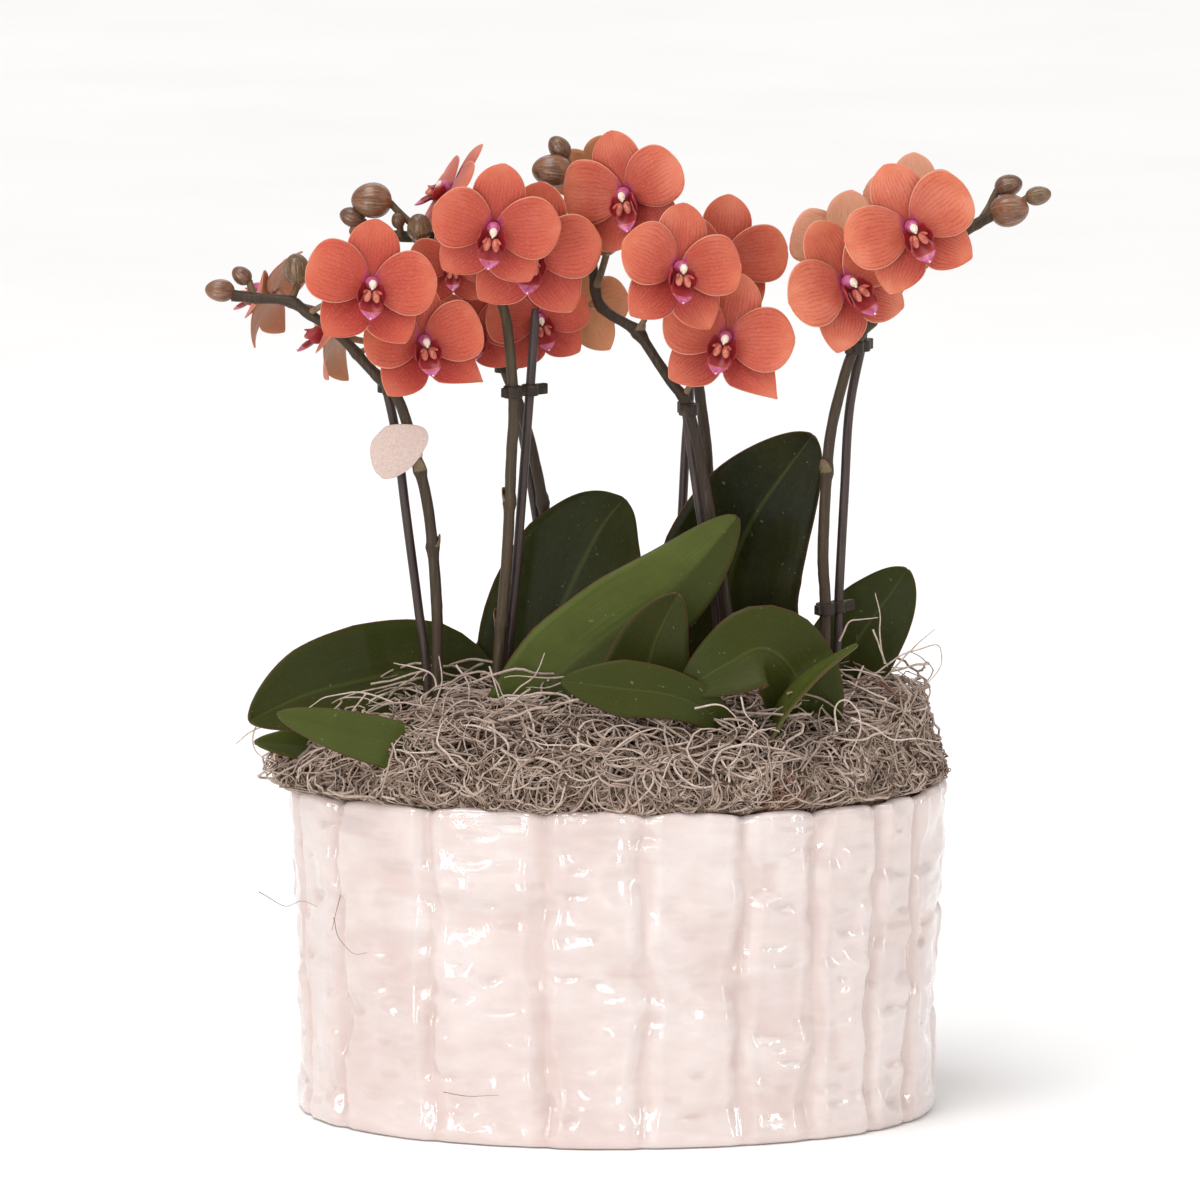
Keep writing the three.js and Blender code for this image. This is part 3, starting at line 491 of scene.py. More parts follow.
def planterRelief(degrees, height):
    random = np.random.default_rng(planter["seed"])
    warp = 0.6 * np.sin(height / 17 + degrees * 0.21) + 0.35 * np.sin(height / 7.3 - degrees * 0.33)
    number, share, width = fluteShare(degrees + warp)
    nearest = np.minimum(share, 1 - share) * width * planter["perDegree"]  # from the nearest crease
    relief = planter["crestRise"] * (1 - (2 * share - 1) ** 4)
    relief = relief - planter["creaseDepth"] * np.exp(-(nearest / planter["creaseWidth"]) ** 1.4)
    relief = relief + planter["rib"] * np.exp(-((nearest - 5.6) / 1.9) ** 2)  # beside each crease
    relief = relief + planter["lumps"] * lumps(random, degrees, height)
    levels = 14  # of bulges, more than the planter is high
    offsets = random.uniform(-1, 1, (len(planter["creases"]), 2, levels))
    starts = random.uniform(0, 0.8, len(planter["creases"]))
    step = height / planter["bulgeHeight"] + starts[number]
    low = np.clip(np.floor(step).astype(int), 0, levels - 2)
    rise = smoothStep((step - low - 0.2) / 0.6)
    sideways = smoothStep((share - 0.3) / 0.4)
    for part, weight in ((0, 1 - sideways), (1, sideways)):
        level = offsets[number, part, low] * (1 - rise) + offsets[number, part, low + 1] * rise
        relief = relief + planter["bulge"] * level * weight * smoothStep(nearest / 5)
    for flute in range(len(planter["creases"])):
        own = number == flute
        for _ in range(planter["dents"]):
            at, z = random.uniform(0.16, 0.84), random.uniform(9, planter["height"] - 6)
            long, tall = random.uniform(*planter["dentLength"]), random.uniform(*planter["dentHeight"])
            across = (share - at) * width * planter["perDegree"] / long
            away = across ** 2 + ((height - z - 1.5 * across ** 2) / tall) ** 2
            dent = np.clip(1 - away, 0, 1) ** 1.4 * random.uniform(0.5, 1.2)
            relief = relief - np.where(own, dent, 0)
    return relief


def planterGrid():
    columns, rows = planter["columns"], planter["rows"]
    degrees = np.arange(columns) * 360 / columns - 360
    _, share, _ = fluteShare(degrees)
    crest = 1 - 2 * np.abs(2 * share - 1) ** 3
    rim = planter["height"] + planter["rimWave"] * 0.5 * (crest + np.sin(np.radians(degrees * 3 + 40)))
    up = np.linspace(0, 1, rows)[:, None]
    height = 3 + up * (rim[None, :] - 6)
    turn = np.broadcast_to(degrees[None, :], height.shape)
    relief = planterRelief(turn, height)
    fade = smoothStep((height - 2) / 12) * 0.5 + 0.5
    scale = planter["taper"] + (1 - planter["taper"]) * height / planter["height"]
    out = relief * fade + planter["foot"] * np.exp(-((height - 4) / 7) ** 2)

    def ring(outward, z, scales=1.0):
        angle = np.radians(degrees)
        return np.stack([
            (planter["halfLength"] * scales + outward) * np.cos(angle),
            (planter["halfDepth"] * scales + outward) * np.sin(angle),
            np.broadcast_to(z, degrees.shape)], -1)

    low, wall = planter["taper"], planter["wall"]
    under = [ring(-14, 1.2, low), ring(-10.5, 1.2, low), ring(-9.5, 0, low), ring(-3, 0, low),
             ring(out[0] - 1.4, 0.5, low), ring(out[0] - 0.5, 1.5, low)]
    side = [ring(out[i], height[i], scale[i]) for i in range(rows)]
    lip = [ring(out[-1] - wall / 2 * (1 - math.cos(a)), rim - 3 + 3 * math.sin(a))
           for a in np.radians([25, 50, 75, 105, 130, 155])]
    inside = [ring(-wall - 0.4, 134), ring(-wall, 120), ring(-wall - 5, 60), ring(-wall - 9, 12),
              ring(-wall - 12, planter["floor"])]
    hollowShade = np.zeros((len(under + side + lip + inside), columns))
    # hollowShade: how deep each point of the side lies in the relief, used for painted shade in the dents
    # and creases
    hollowShade[len(under):len(under) + rows] = smoothStep(0.5 - relief / 3.2)
    return np.array(under + side + lip + inside), hollowShade


def makePlanter():
    rings, hollowShade = planterGrid()
    tone = np.concatenate([hollowShade.ravel(), [0, 0]])
    piece = finishPart("planter_glazed", tubeRings(rings, tone=tone), [glaze()])
    place(piece, "glaze", "planter")


def glaze():
    material = newMaterial(
        "pinkWhiteGlaze", roughness=0.08, coat_weight=1.0, coat_roughness=0.02, coat_ior=1.6,
        subsurface_weight=0.1, subsurface_scale=0.003, specular_ior_level=0.5)
    broad = noise(26, 3, 0.5, axes=(1, 1, 0.6))
    streak = noise(60, 4, 0.6, axes=(1, 1, 2.6))
    mixed = plus(times(broad, 0.65), times(streak, 0.35))
    tint = ramp(mixed, [(0.34, "d4c0ba"), (0.62, "e2d5d1"), (0.48, "dbcac5")])
    # painted shade: the glaze is tinted darker pink in the dents and along the creases
    tint = blend(stretch(readNumber("tone"), 0.35, 0.95, 0, 0.35), tint, "cfb1a7")
    pores = noise(900, 2)
    specks = stretch(noise(420, 1), 0.7, 0.74)
    tint = blend(times(specks, 0.25), tint, "d9bba8")
    return finished(material, tint, plus(pores, times(broad, 4.0)), 0.12, 0.0006)


makePlanter()
print("planter is made")


# Leaves, folded a little along the middle. A row is the midrib, half the width, the way the upper side
# looks, the tone and what else is special.

leafSettings = {
    "thickness": 1.8, "rows": 44, "columns": 15, "wave": 0.7, "groove": 0.5,
    "shape": [0.2, 0.4, 0.78, 1, 0.97, 0.68, 0.13], "blunt": 0.47,
}

foliage = {
    "left": {"at": (-65, -20), "leaves": [
        ([(-66, -17, 116), (-58, -8, 138), (-54, 0, 158), (-59, 4, 173), (-71, 4, 183), (-88, 0, 186),
         (-108, -9, 184), (-131, -23, 180), (-153, -38, 172)], 23, (0, -0.95, 0.3), 0.55,
         {"shape": [0.2, 0.3, 0.52, 0.95, 1, 0.76, 0.13]}),
        ([(-66, -24, 115), (-69, -34, 137), (-79, -48, 155), (-93, -58, 165), (-113, -66, 172),
         (-140, -73, 181)], 10.4, (0.4, -0.9, 0.1), 0.85),
        ([(-66, -15, 115), (-76, -1, 135), (-103, -7, 150), (-128, -17, 157), (-151, -26, 161)], 11,
         (0, -0.7, 0.7), 0.9),
        ([(-64, -17, 116), (-58, -2, 142), (-43, 4, 166), (-32, 5, 186), (-27, 6, 204), (-18, 8, 224),
         (-7, 11, 245), (3, 13, 258)], 30, (-0.25, -0.95, 0.2), 0.3,
         {"shape": [0.2, 0.4, 0.7, 0.95, 1, 0.85, 0.3]}),
        ([(-63, -23, 116), (-54, -33, 150), (-30, -34, 185), (-5, -32, 207), (25, -29, 229),
         (50, -26, 256)], 21, (-0.2, -0.97, 0.1), 1.0, {"lean": -0.4}),
    ]},
    "middle": {"at": (0, 24), "leaves": [
        ([(0, 20, 116), (2, 0, 142), (7, -28, 158), (10, -46, 181), (15, -48, 205), (25, -48, 227)], 21,
         (0, -1, 0), 0.5),
        ([(-1, 28, 116), (-5, 42, 150), (-17, 62, 178), (-42, 82, 187), (-64, 94, 177)], 22,
         (0.3, -0.5, 0.8), 0.4),
        ([(1, 28, 116), (7, 44, 152), (24, 64, 184), (50, 82, 192), (72, 94, 180)], 22, (-0.3, -0.5, 0.8),
         0.4),
    ]},
    "right": {"at": (69, -22), "leaves": [
        ([(68, -18, 116), (64, -3, 144), (52, 6, 180), (46, 7, 215), (56, 7, 248), (82, 6, 286)], 31,
         (-0.1, -1, 0.1), 0.05),
        ([(71, -26, 115), (77, -36, 146), (79, -45, 172), (74, -53, 194), (61, -58, 206), (46, -61, 200),
         (26, -61, 188)], 18.5, (0, -0.93, 0.37), 0.58, {"shape": [0.2, 0.34, 0.6, 0.9, 1, 0.74, 0.13]}),
        ([(67, -26, 115), (58, -42, 150), (42, -60, 176), (24, -67, 187), (1, -70, 191), (-23, -70, 194)],
         11.5, (0, -0.95, 0.3), 0.6, {"shape": [0.2, 0.3, 0.36, 0.55, 0.85, 1, 0.35]}),
        ([(71, -27, 115), (67, -46, 148), (66, -60, 172), (80, -65, 194), (99, -60, 208)], 11,
         (-0.8, -0.2, 0.6), 0.8),
        ([(70, -18, 116), (76, -4, 142), (89, 5, 176), (102, 6, 200), (114, 6, 217), (122, 6, 229)], 19,
         (-0.1, -0.98, 0.2), 0.52, {"shape": [0.2, 0.4, 0.78, 1, 1, 0.8, 0.3]}),
    ]},
}


def leafPart(row, number):
    leaf = named(("midrib", "halfWidth", "face", "tone"), row)
    rows, columns = leafSettings["rows"], leafSettings["columns"]
    path = smoothPath(leaf["midrib"], 1)
    v = np.sin(np.linspace(0, 1, rows) * math.pi / 2) ** 0.9  # rows gather near the tip
    places = v * (len(path) - 1)
    spine = np.column_stack([np.interp(places, np.arange(len(path)), path[:, k]) for k in range(3)])
    along = unit(np.gradient(spine, axis=0))
    across = unit(np.cross(along, np.array(leaf["face"], float)))
    up = unit(np.cross(across, along))
    shape = list(leaf.get("shape", leafSettings["shape"]))
    shape[-2:] = [shape[-2] + 0.12, shape[-1] + leafSettings["blunt"]]  # the tip is rounded off below
    share = np.interp(v, np.linspace(0, 1, len(shape)), shape)
    tip = np.sqrt(np.clip(1 - np.clip((v - 0.72) / 0.28, 0, 1) ** 2.2, 0, 1))
    half = np.maximum(leaf["halfWidth"] * share * tip, 0.25)
    u = np.linspace(-1, 1, columns)
    wave = np.sin(v * 9 + number)[:, None] * u[None, :] ** 2 * smoothStep(v * 3)[:, None]
    fold = 0.18 * half[:, None] * u[None, :] ** 2
    groove = -leafSettings["groove"] * np.exp(-(u[None, :] * half[:, None] / 1.4) ** 2)
    grid = spine[:, None] + across[:, None] * (u[None, :] * half[:, None])[..., None]
    grid = grid + up[:, None] * (fold + groove + leafSettings["wave"] * wave)[..., None]
    shadedHalf = smoothStep((u + 0.06) / 0.12) * leaf.get("lean", 0)  # painted shade: one half may be painted darker than the other, as if turned away from the light
    # painted shade: every leaf is painted darker towards its base, where it sits deep in the plant
    tone = leaf["tone"] + shadedHalf[None, :] - 0.45 * leaf["tone"] * smoothStep(1.1 - v * 2)[:, None]
    return sheet(grid, leafSettings["thickness"], tone=np.tile(tone.ravel(), 2), edge=0.35)


def makeFoliage():
    material = leafSkin()
    for name, plant in foliage.items():
        x, y = plant["at"]
        parts = [leafPart(leaf, number) for number, leaf in enumerate(plant["leaves"])]
        crown = lambda lat, lon: 1 + 0.12 * np.cos(2 * lon) + 0.05 * np.sin(5 * lat)
        parts.append(ball((x, y, 106), [(6.6, 0, 0), (0, 6.2, 0), (0, 0, 16)], tone=0.3, shape=crown))
        for degrees in (80, 260):
            turn = [math.radians(degrees + (98 - z) * 0.5) for z in (98, 84, 66)]
            line = [(x + r * math.cos(a), y + r * math.sin(a), z)
                    for r, a, z in zip((3, 14, 18), turn, (98, 84, 66))]
            parts.append(rootPart(smoothPath(line, 3)))
        piece = finishPart(f"foliage_{name}_leaves", joinParts(parts), [material])
        place(piece, "leaf", f"foliage_{name}")


def rootPart(line):
    angle = np.arange(8) * math.pi / 4
    along = unit(np.gradient(line, axis=0))
    first = unit(np.cross(along, [0.2, 0.9, 0.1]))
    second = np.cross(along, first)
    ring = first[:, None] * np.cos(angle)[None, :, None] + second[:, None] * np.sin(angle)[None, :, None]
    return tubeRings(line[:, None] + ring * 1.9, tone=0.6)


def leafSkin():
    material = newMaterial(
        "leafSkin", roughness=0.34, coat_weight=0.02, coat_roughness=0.2, specular_ior_level=0.09,
        subsurface_weight=0.06, subsurface_scale=0.002)
    tone, side = readNumber("tone"), readNumber("side")
    green = ramp(tone, [(0.0, "1a1c08"), (1.0, "545e2a"), (0.5, "2e330f")])
    u, v = addNode("ShaderNodeSeparateXYZ", {0: surfacePoint()}).outputs[:2]
    middle = maths("ABSOLUTE", maths("SUBTRACT", u, 0.5))
    blotch = noise(38, 4, 0.6)
    upper = blend(stretch(blotch, 0.35, 0.75, 0, 0.45), green, "3f3d18")
    veins = surfaceNoise((46, 1.2, 1), 3, 3, 0.5)
    upper = blend(stretch(veins, 0.5, 0.72, 0, 0.28), upper, "14170a")
    grain = noise(900, 2)
    upper = blend(stretch(grain, 0.55, 0.8, 0, 0.18), upper, "5c5f3c")
    specks = stretch(noise(420, 1), 0.74, 0.78, 0, 0.35)
    upper = blend(specks, upper, "8d9468")
    # painted highlight: a lighter line along the midrib groove
    rib = stretch(middle, 0.004, 0.03, 1, 0)
    upper = blend(times(rib, 0.4), upper, "4f5726")
    under = blend(stretch(blotch, 0.4, 0.7), "5a6338", "6a5640")
    skin = blend(side, under, upper)
    edge = maths("MAXIMUM", times(middle, 2.0), v)
    skin = blend(stretch(edge, 0.96, 0.995, 0, 0.7), skin, "523322")
    paint(stretch(blotch, 0.3, 0.7, 0.26, 0.42), "Roughness")
    return finished(material, skin, plus(veins, times(grain, 0.3)), 0.25, 0.0004)


makeFoliage()
print("leaves are made")


# Sprays: stem from its foot in the bark to the tip among the buds. A row of a bud is where it is, where
# it points, its length and width and where its stalk leaves the stem. A row of a bloom is where it is,
# its turn, tilt, roll and size, where its stalk leaves the stem and what else is special.

sprays = {
    "a": {
        "stem": [(-77, -25, 98), (-75, -25, 198), (-76, -25, 232), (-79, -26, 262), (-85, -27, 287),
                 (-91, -28, 306), (-97, -28, 313), (-104, -27, 320), (-115, -26, 332), (-128, -24, 341),
                 (-136, -22, 346), (-150, -20, 347), (-160, -19, 348)],
        "stake": [(-74, -11, 52), (-79, -17, 180), (-83, -19, 217), (-88, -20, 257), (-92, -21, 290),
                  (-97, -21, 314)],
        "clips": [310], "knots": [243, 276], "tone": 0.35,
        "buds": [
            ((-165, -19, 350), (-1, 0, 0.1), 12.5, 9.5, (-159, -19, 348)),
            ((-156, -16, 356), (-0.8, 0.1, 0.6), 9, 7.5, (-150, -20, 347)),
            ((-133, -20, 359), (-0.1, 0, 1), 13.5, 11.5, (-136, -22, 346)),
        ],
        "blooms": {
            "a1": ((-101.8, -52, 356.2), 10, 12, -8, 1.05, (-128, -24, 341)),
            "a2": ((-80.5, -40, 330.8), 15, 10, 5, 1, (-99, -28, 315), {"pointed": True}),
            "a3": ((-145, 14, 344), -110, 22, -6, 0.9, (-134, -22, 345),
                   {"reach": 1.4, "curl": -7, "via": (-127, 0, 340)}),
            "a4": ((-117, 8, 329), -106, 18, 6, 0.92, (-108, -27, 325),
                   {"reach": 1.4, "curl": -7, "via": (-100, -8, 326)}),
        },
    },
    "b": {
        "stem": [(-53, -22, 98), (-50, -22, 187), (-46, -22, 237), (-44, -22, 280), (-43, -22, 302),
                 (-45, -22, 330), (-47, -21, 342), (-53, -18, 357), (-61, -16, 366), (-70, -14, 370),
                 (-77, -14, 372), (-88, -14, 372), (-102, -13, 374)],
        "stake": [(-53, -10, 52), (-46, -16, 187), (-42, -16, 233), (-38, -16, 285), (-35, -16, 325),
                  (-34, -16, 342)],
        "clips": [308], "knots": [211, 262], "tone": 0.5,
        "buds": [
            ((-102, -14, 387), (-1, 0, 0.05), 17, 15, (-78, -14, 372)),
            ((-110, -12, 380), (-0.9, 0, 0.3), 11, 8.5, (-100, -13, 374)),
            ((-82, -24, 377), (-0.1, -0.3, 1), 12, 10.5, (-85, -14, 372)),
            ((-107, -13, 374), (-1, 0, 0.1), 9, 7, (-101, -13, 374)),
            ((-91, -17, 379), (-0.3, -0.2, 1), 7, 5.5, (-90, -14, 372)),
        ],
        "blooms": {
            "b1": ((-51, -50, 380), 0, -8, -8, 1.04, (-69, -14, 370), {"via": (-70, -32, 388)}),
            "b2": ((-35, -32, 367.7), -1, 0, -7, 1.12, (-51, -19, 352)),
            "b3": ((-68, -27, 362), 0, 0, 0, 0.7, (-57, -17, 362)),
            "b4": ((-69, -4, 389.5), -79, 35, 0, 0.9, (-61, -16, 366), {"via": (-56, -8, 380)}),
        },
    },
    "c": {
        "stem": [(-12, 22, 98), (-22, 22, 187), (-29, 22, 240), (-33, 22, 265), (-39, 22, 290),
                 (-46, 21, 309), (-52, 19, 325), (-56, 18, 334), (-63, 16, 344), (-71, 14, 350),
                 (-82, 14, 353)],
        "stake": [(-8, 35, 52), (-24, 28, 187), (-33, 28, 242), (-37, 28, 268), (-41, 28, 290),
                  (-46, 27, 318)],
        "clips": [313], "knots": [255], "tone": 0.25,
        "buds": [
            ((-90, 15, 356), (-1, 0, 0.3), 12, 9, (-81, 14, 353)),
        ],
        "blooms": {
            "c1": ((-60, 10, 331), 8, -5, 0, 0.84, (-55, 18, 334)),
            "c2": ((-33, -3, 336), 14, 0, 12, 0.86, (-51, 19, 323), {"via": (-34, 17, 327)}),
        },
    },
    "d": {
        "stem": [(56, -16, 98), (49, -15, 181), (45, -15, 222), (39, -15, 255), (35, -15, 278),
                 (29, -17, 302), (23, -18, 311), (15, -18, 323), (9, -16, 332), (3, -14, 336),
                 (-3, -10, 339), (-8, -6, 344), (-10, -4, 357), (-11, -4, 368), (-12, -6, 380),
                 (-15, -9, 391), (-19, -11, 398)],
        "stake": [(58, -5, 52), (44, -8, 180), (41, -9, 218), (35, -9, 254), (32, -9, 274),
                  (28, -10, 305)],
        "clips": [300], "tab": "left", "knots": [240, 332], "tone": 0.2,
        "buds": [
            ((-27, -11, 399), (-1, 0, 0.1), 17, 14, (-18, -11, 397)),
            ((-24, -4, 408), (-0.6, 0.1, 0.8), 11, 9, (-18, -10, 396)),
            ((-5, -14, 372), (-0.1, -0.1, 1), 16.5, 12.5, (-9, -5, 349)),
        ],
        "blooms": {
            "d1": ((45, -40, 332), -5, 12, -12, 1.07, (27, -17, 305), {"pointed": True}),
            "d2": ((24.6, -52, 362.7), 22, 12, -12, 1.06, (9, -16, 332)),
            "d4": ((4, -30, 391.7), -20, -2, 16, 1.02, (-11, -4, 366)),
            "d5": ((-16, 18, 338), 170, 0, 0, 0.82, (-6, -7, 342)),
            "d6": ((-6, 8, 391), 165, 10, 0, 0.82, (-13, -8, 386)),
        },
    },
    "e": {
        "stem": [(84, -18, 98), (87, -18, 206), (86, -18, 237), (87, -18, 267), (89, -18, 290),
                 (94, -18, 312), (98, -18, 324), (103, -18, 334), (116, -15, 349), (127, -13, 360),
                 (137, -12, 368), (148, -12, 376), (156, -12, 381)],
        "stake": [(80, -8, 52), (91, -12, 182), (93, -12, 225), (95, -12, 265), (97, -12, 300),
                  (103, -11, 331)],
        "clips": [216, 326], "knots": [274, 337], "tone": 0.4,
        "buds": [
            ((163, -12, 383), (1, 0, 0.1), 16.5, 14, (154, -12, 380)),
            ((163, -4, 392), (0.9, 0.1, 0.3), 12, 9.5, (150, -12, 377)),
            ((175, -12, 389), (1, 0, 0.2), 11, 8, (156, -12, 381)),
        ],
        "blooms": {
            "e1": ((94, -45, 356), 26, 12, 25, 1.09, (105, -17, 337)),
            "e2": ((120.8, -52, 380), 7, 7, 23, 1.07, (127, -13, 360)),
            "e3": ((124, 10, 382), 165, 5, 0, 0.86, (140, -12, 370)),
            "e4": ((96, 0, 366), -165, 8, 0, 0.92, (114, -15, 347)),
        },
    },
    "f": {
        "stem": [(16, 20, 98), (27, 21, 175), (34, 21, 218), (38, 20, 250), (38, 20, 275), (35, 20, 300),
                 (33, 18, 318), (31, 16, 342), (26, 14, 362), (20, 12, 374)],
        "stake": [(10, 32, 52), (22, 28, 174), (27, 28, 240), (29, 28, 278), (31, 27, 304)],
        "clips": [236], "knots": [262], "tone": 0.25,
        "buds": [
            ((14, 14, 382), (-1, 0, 0.6), 12, 9, (21, 12, 373)),
        ],
        "blooms": {
            "f1": ((44, -12, 363), 12, 5, -5, 1, (32, 17, 335)),
        },
    },
}

for spray in sprays.values():
    spray["buds"] = [named(("at", "towards", "length", "width", "from"), row) for row in spray["buds"]]
    for name, row in spray["blooms"].items():
        spray["blooms"][name] = named(("at", "turn", "tilt", "roll", "size", "from"), row)

stemSettings = {"radius": 2.3, "pedicel": 1.3, "knot": 0.8, "stake": 1.95, "bloomBack": 2.2}


def look(bloom):
    turn, tilt = math.radians(bloom["turn"]), math.radians(bloom["tilt"])
    return np.array([math.sin(turn) * math.cos(tilt), -math.cos(turn) * math.cos(tilt), math.sin(tilt)])


def stemLine(spray):
    line = smoothPath(spray["stem"], 2.5)
    girth = stemSettings["radius"] * np.interp(line[:, 2], [100, 300, 400], [1.08, 1.0, 0.8])
    for knot in spray["knots"]:
        girth = girth + stemSettings["knot"] * np.exp(-((line[:, 2] - knot) / 2.2) ** 2)
    for stalk in [*spray["buds"], *spray["blooms"].values()]:
        away = np.linalg.norm(line - np.array(stalk["from"]), axis=1)
        girth = girth + 0.45 * np.exp(-(away / 2.5) ** 2)
    return line, girth, np.full(len(line), spray["tone"])


def pedicelLine(bloom):
    end = np.array(bloom["at"]) - look(bloom) * stemSettings["bloomBack"] * bloom["size"]
    behind = end - look(bloom) * 7
    start = np.array(bloom["from"], float)
    middle = np.array(bloom["via"]) if "via" in bloom else (behind + start) / 2 + [0, 0, 1.5]
    line = smoothPath([start, middle, behind, end], 2)
    girth = np.interp(np.arange(len(line)) / len(line), [0, 0.1, 0.7, 1], [1.3, 0.95, 1, 1.35])
    return line, stemSettings["pedicel"] * girth, np.full(len(line), 0.85)


def budLine(bud):
    towards = unit(np.array(bud["towards"], float))
    base = np.array(bud["at"]) - towards * bud["length"] * 0.42
    start = np.array(bud["from"], float)
    line = smoothPath([start, (base + start) / 2 + [0, 0, -1], base], 1.5)
    return line, stemSettings["pedicel"] * np.linspace(1.25, 1.1, len(line)), np.full(len(line), 0.7)


def budPart(bud, number):
    def seams(lat, lon):
        lobe = np.abs(np.sin(1.5 * (lon + number)))
        return (1 - 0.2 * (1 - lobe) ** 4) * (1 + 0.1 * np.sin(lat) * -1) * (1 + 0.03 * np.cos(6 * lon))
    axes = axesAlong(bud["towards"], bud["width"], bud["length"])
    return ball(bud["at"], axes, tone=(number * 0.37) % 1, rows=16, around=30, shape=seams)


def bractPart(spray, height):
    at = pointAt(spray["stem"], height)
    v, u = np.linspace(0, 1, 8), np.linspace(-1, 1, 9)
    around = (height * 0.13) + u[None, :] * 1.5 * (1 - 0.8 * v[:, None] ** 1.5)
    reach = (2.5 + 0.5 * np.sin(v * 3) + 0.6 * v ** 3)[:, None] + 0 * around
    grid = np.stack([at[0] + reach * np.cos(around), at[1] + reach * np.sin(around),
                     at[2] - 1 + (v * 6.5)[:, None] + 0 * around], -1)
    return sheet(grid[:, ::-1], 0.5, tone=0.9)


def makeSprays():
    bark, skin, plastic = stemSkin(), budSkin(), stakePlastic()
    for name, spray in sprays.items():
        paths = [stemLine(spray)]
        paths += [pedicelLine(bloom) for bloom in spray["blooms"].values()]
        paths += [budLine(bud) for bud in spray["buds"]]
        piece = tubes(f"spray_{name}_stem", paths, bark, Sides=12, Lumps=0.0005)
        place(piece, "stem", f"spray_{name}")
        buds = finishPart(f"spray_{name}_buds", joinParts(
            [budPart(bud, number) for number, bud in enumerate(spray["buds"])]
            + [bractPart(spray, knot) for knot in spray["knots"]]), [skin])
        place(buds, "stem")
        line = smoothPath(spray["stake"], 5)
        girth = stemSettings["stake"] * np.where(np.arange(len(line)) == len(line) - 1, 0.7, 1)
        stake = tubes(f"stake_{name}_rod", [(line, girth, 0.0)], plastic, Sides=16)
        place(stake, "stake", f"stake_{name}")


def stemSkin():
    material = newMaterial("stemSkin", roughness=0.5, specular_ior_level=0.3)
    base = ramp(readNumber("tone"), [(0.0, "281b14"), (1.0, "9a7359"), (0.3, "38291d"), (0.55, "4a3d29"),
                                     (0.75, "755f45")])
    mottle = noise(240, 4, 0.6, axes=(1, 1, 0.35))
    skin = blend(stretch(mottle, 0.4, 0.68, 0, 0.55), base, "35291f")
    lines = noise(900, 2, axes=(1, 1, 0.06))
    skin = blend(stretch(lines, 0.5, 0.7, 0, 0.1), skin, "8f8a68")
    return finished(material, skin, plus(lines, mottle), 0.3, 0.0003)


def budSkin():
    material = newMaterial(
        "budSkin", roughness=0.24, subsurface_weight=0.1, subsurface_scale=0.002, specular_ior_level=0.5)
    base = ramp(readNumber("tone"), [(0.0, "85573c"), (1.0, "5f5230"), (0.4, "6a4532"), (0.75, "74583a")])
    mottle = noise(150, 4, 0.6)
    skin = blend(stretch(mottle, 0.42, 0.66, 0, 0.75), base, "573c2c")
    streaks = surfaceNoise((26, 1.2, 1), 2.2, 3)
    skin = blend(stretch(streaks, 0.52, 0.7, 0, 0.6), skin, "b89d84")
    return finished(material, skin, streaks, 0.35, 0.0005)


def stakePlastic():
    return grainMaterial(
        "stakePlastic", (500, 3), [(0.3, "2a1e1a"), (0.75, "4b3a34")], (0.2, 0.0002), (1, 1, 0.1),
        roughness=0.42, specular_ior_level=0.45)


makeSprays()
print("sprays and stakes are made")


# Flower clips: a ring on the stem, a ring on the stake, a bar between them and a tab to pinch

clipSettings = {"height": 5, "wall": 1.5, "bar": 2.8, "tab": 5.5, "clearance": 0.25}


def ringPart(centre, inner, outer, height):
    angle = np.arange(28) * 2 * math.pi / 28
    profile = [(inner, -height / 2), (outer, -height / 2), (outer, height / 2), (inner, height / 2)]
    rings = [[(r * math.cos(a), r * math.sin(a), z) for a in angle] for r, z in profile + profile[:1]]
    return tubeRings(np.array(rings) + np.array(centre), closed=False)


def boxPart(centre, along, length, depth, height):
    across = np.array([-along[1], along[0], 0])
    corners = [(-1, -1), (1, -1), (1, 1), (-1, 1)]
    points = [centre + along * (s * length / 2) + across * (t * depth / 2) + [0, 0, z * height / 2]
              for z in (-1, 1) for s, t in corners]
    faces = [[3, 2, 1, 0], [4, 5, 6, 7], [0, 1, 5, 4], [1, 2, 6, 5], [2, 3, 7, 6], [3, 0, 4, 7]]
    return makePart(points, faces, np.zeros((8, 2)))


def clipParts(spray, height):
    a, b = [np.array([*pointAt(spray[kind], height)[:2], height]) for kind in ("stem", "stake")]
    apart = np.linalg.norm(b - a)
    along = (b - a) / apart
    inner = stemSettings["radius"] + clipSettings["clearance"]
    outer = inner + clipSettings["wall"]
    tall = clipSettings["height"]
    tabEnd = b if (along[0] > 0) == (spray.get("tab") != "left") else a
    outwards = along if tabEnd is b else -along
    bar, tab, farEnd = clipSettings["bar"], clipSettings["tab"], a if tabEnd is b else b
    return [
        ringPart(a, inner, outer, tall),
        ringPart(b, stemSettings["stake"] + clipSettings["clearance"], outer - 0.5, tall * 0.94),
        boxPart((a + b) / 2, along, max(apart - 2 * inner, 1.2), bar, tall * 0.8),
        boxPart(tabEnd + outwards * (outer + tab / 2 - 0.8), along, tab, bar, tall * 0.9),
        boxPart(farEnd - outwards * (outer + 0.4), along, 2.2, bar, tall * 0.8),
    ]


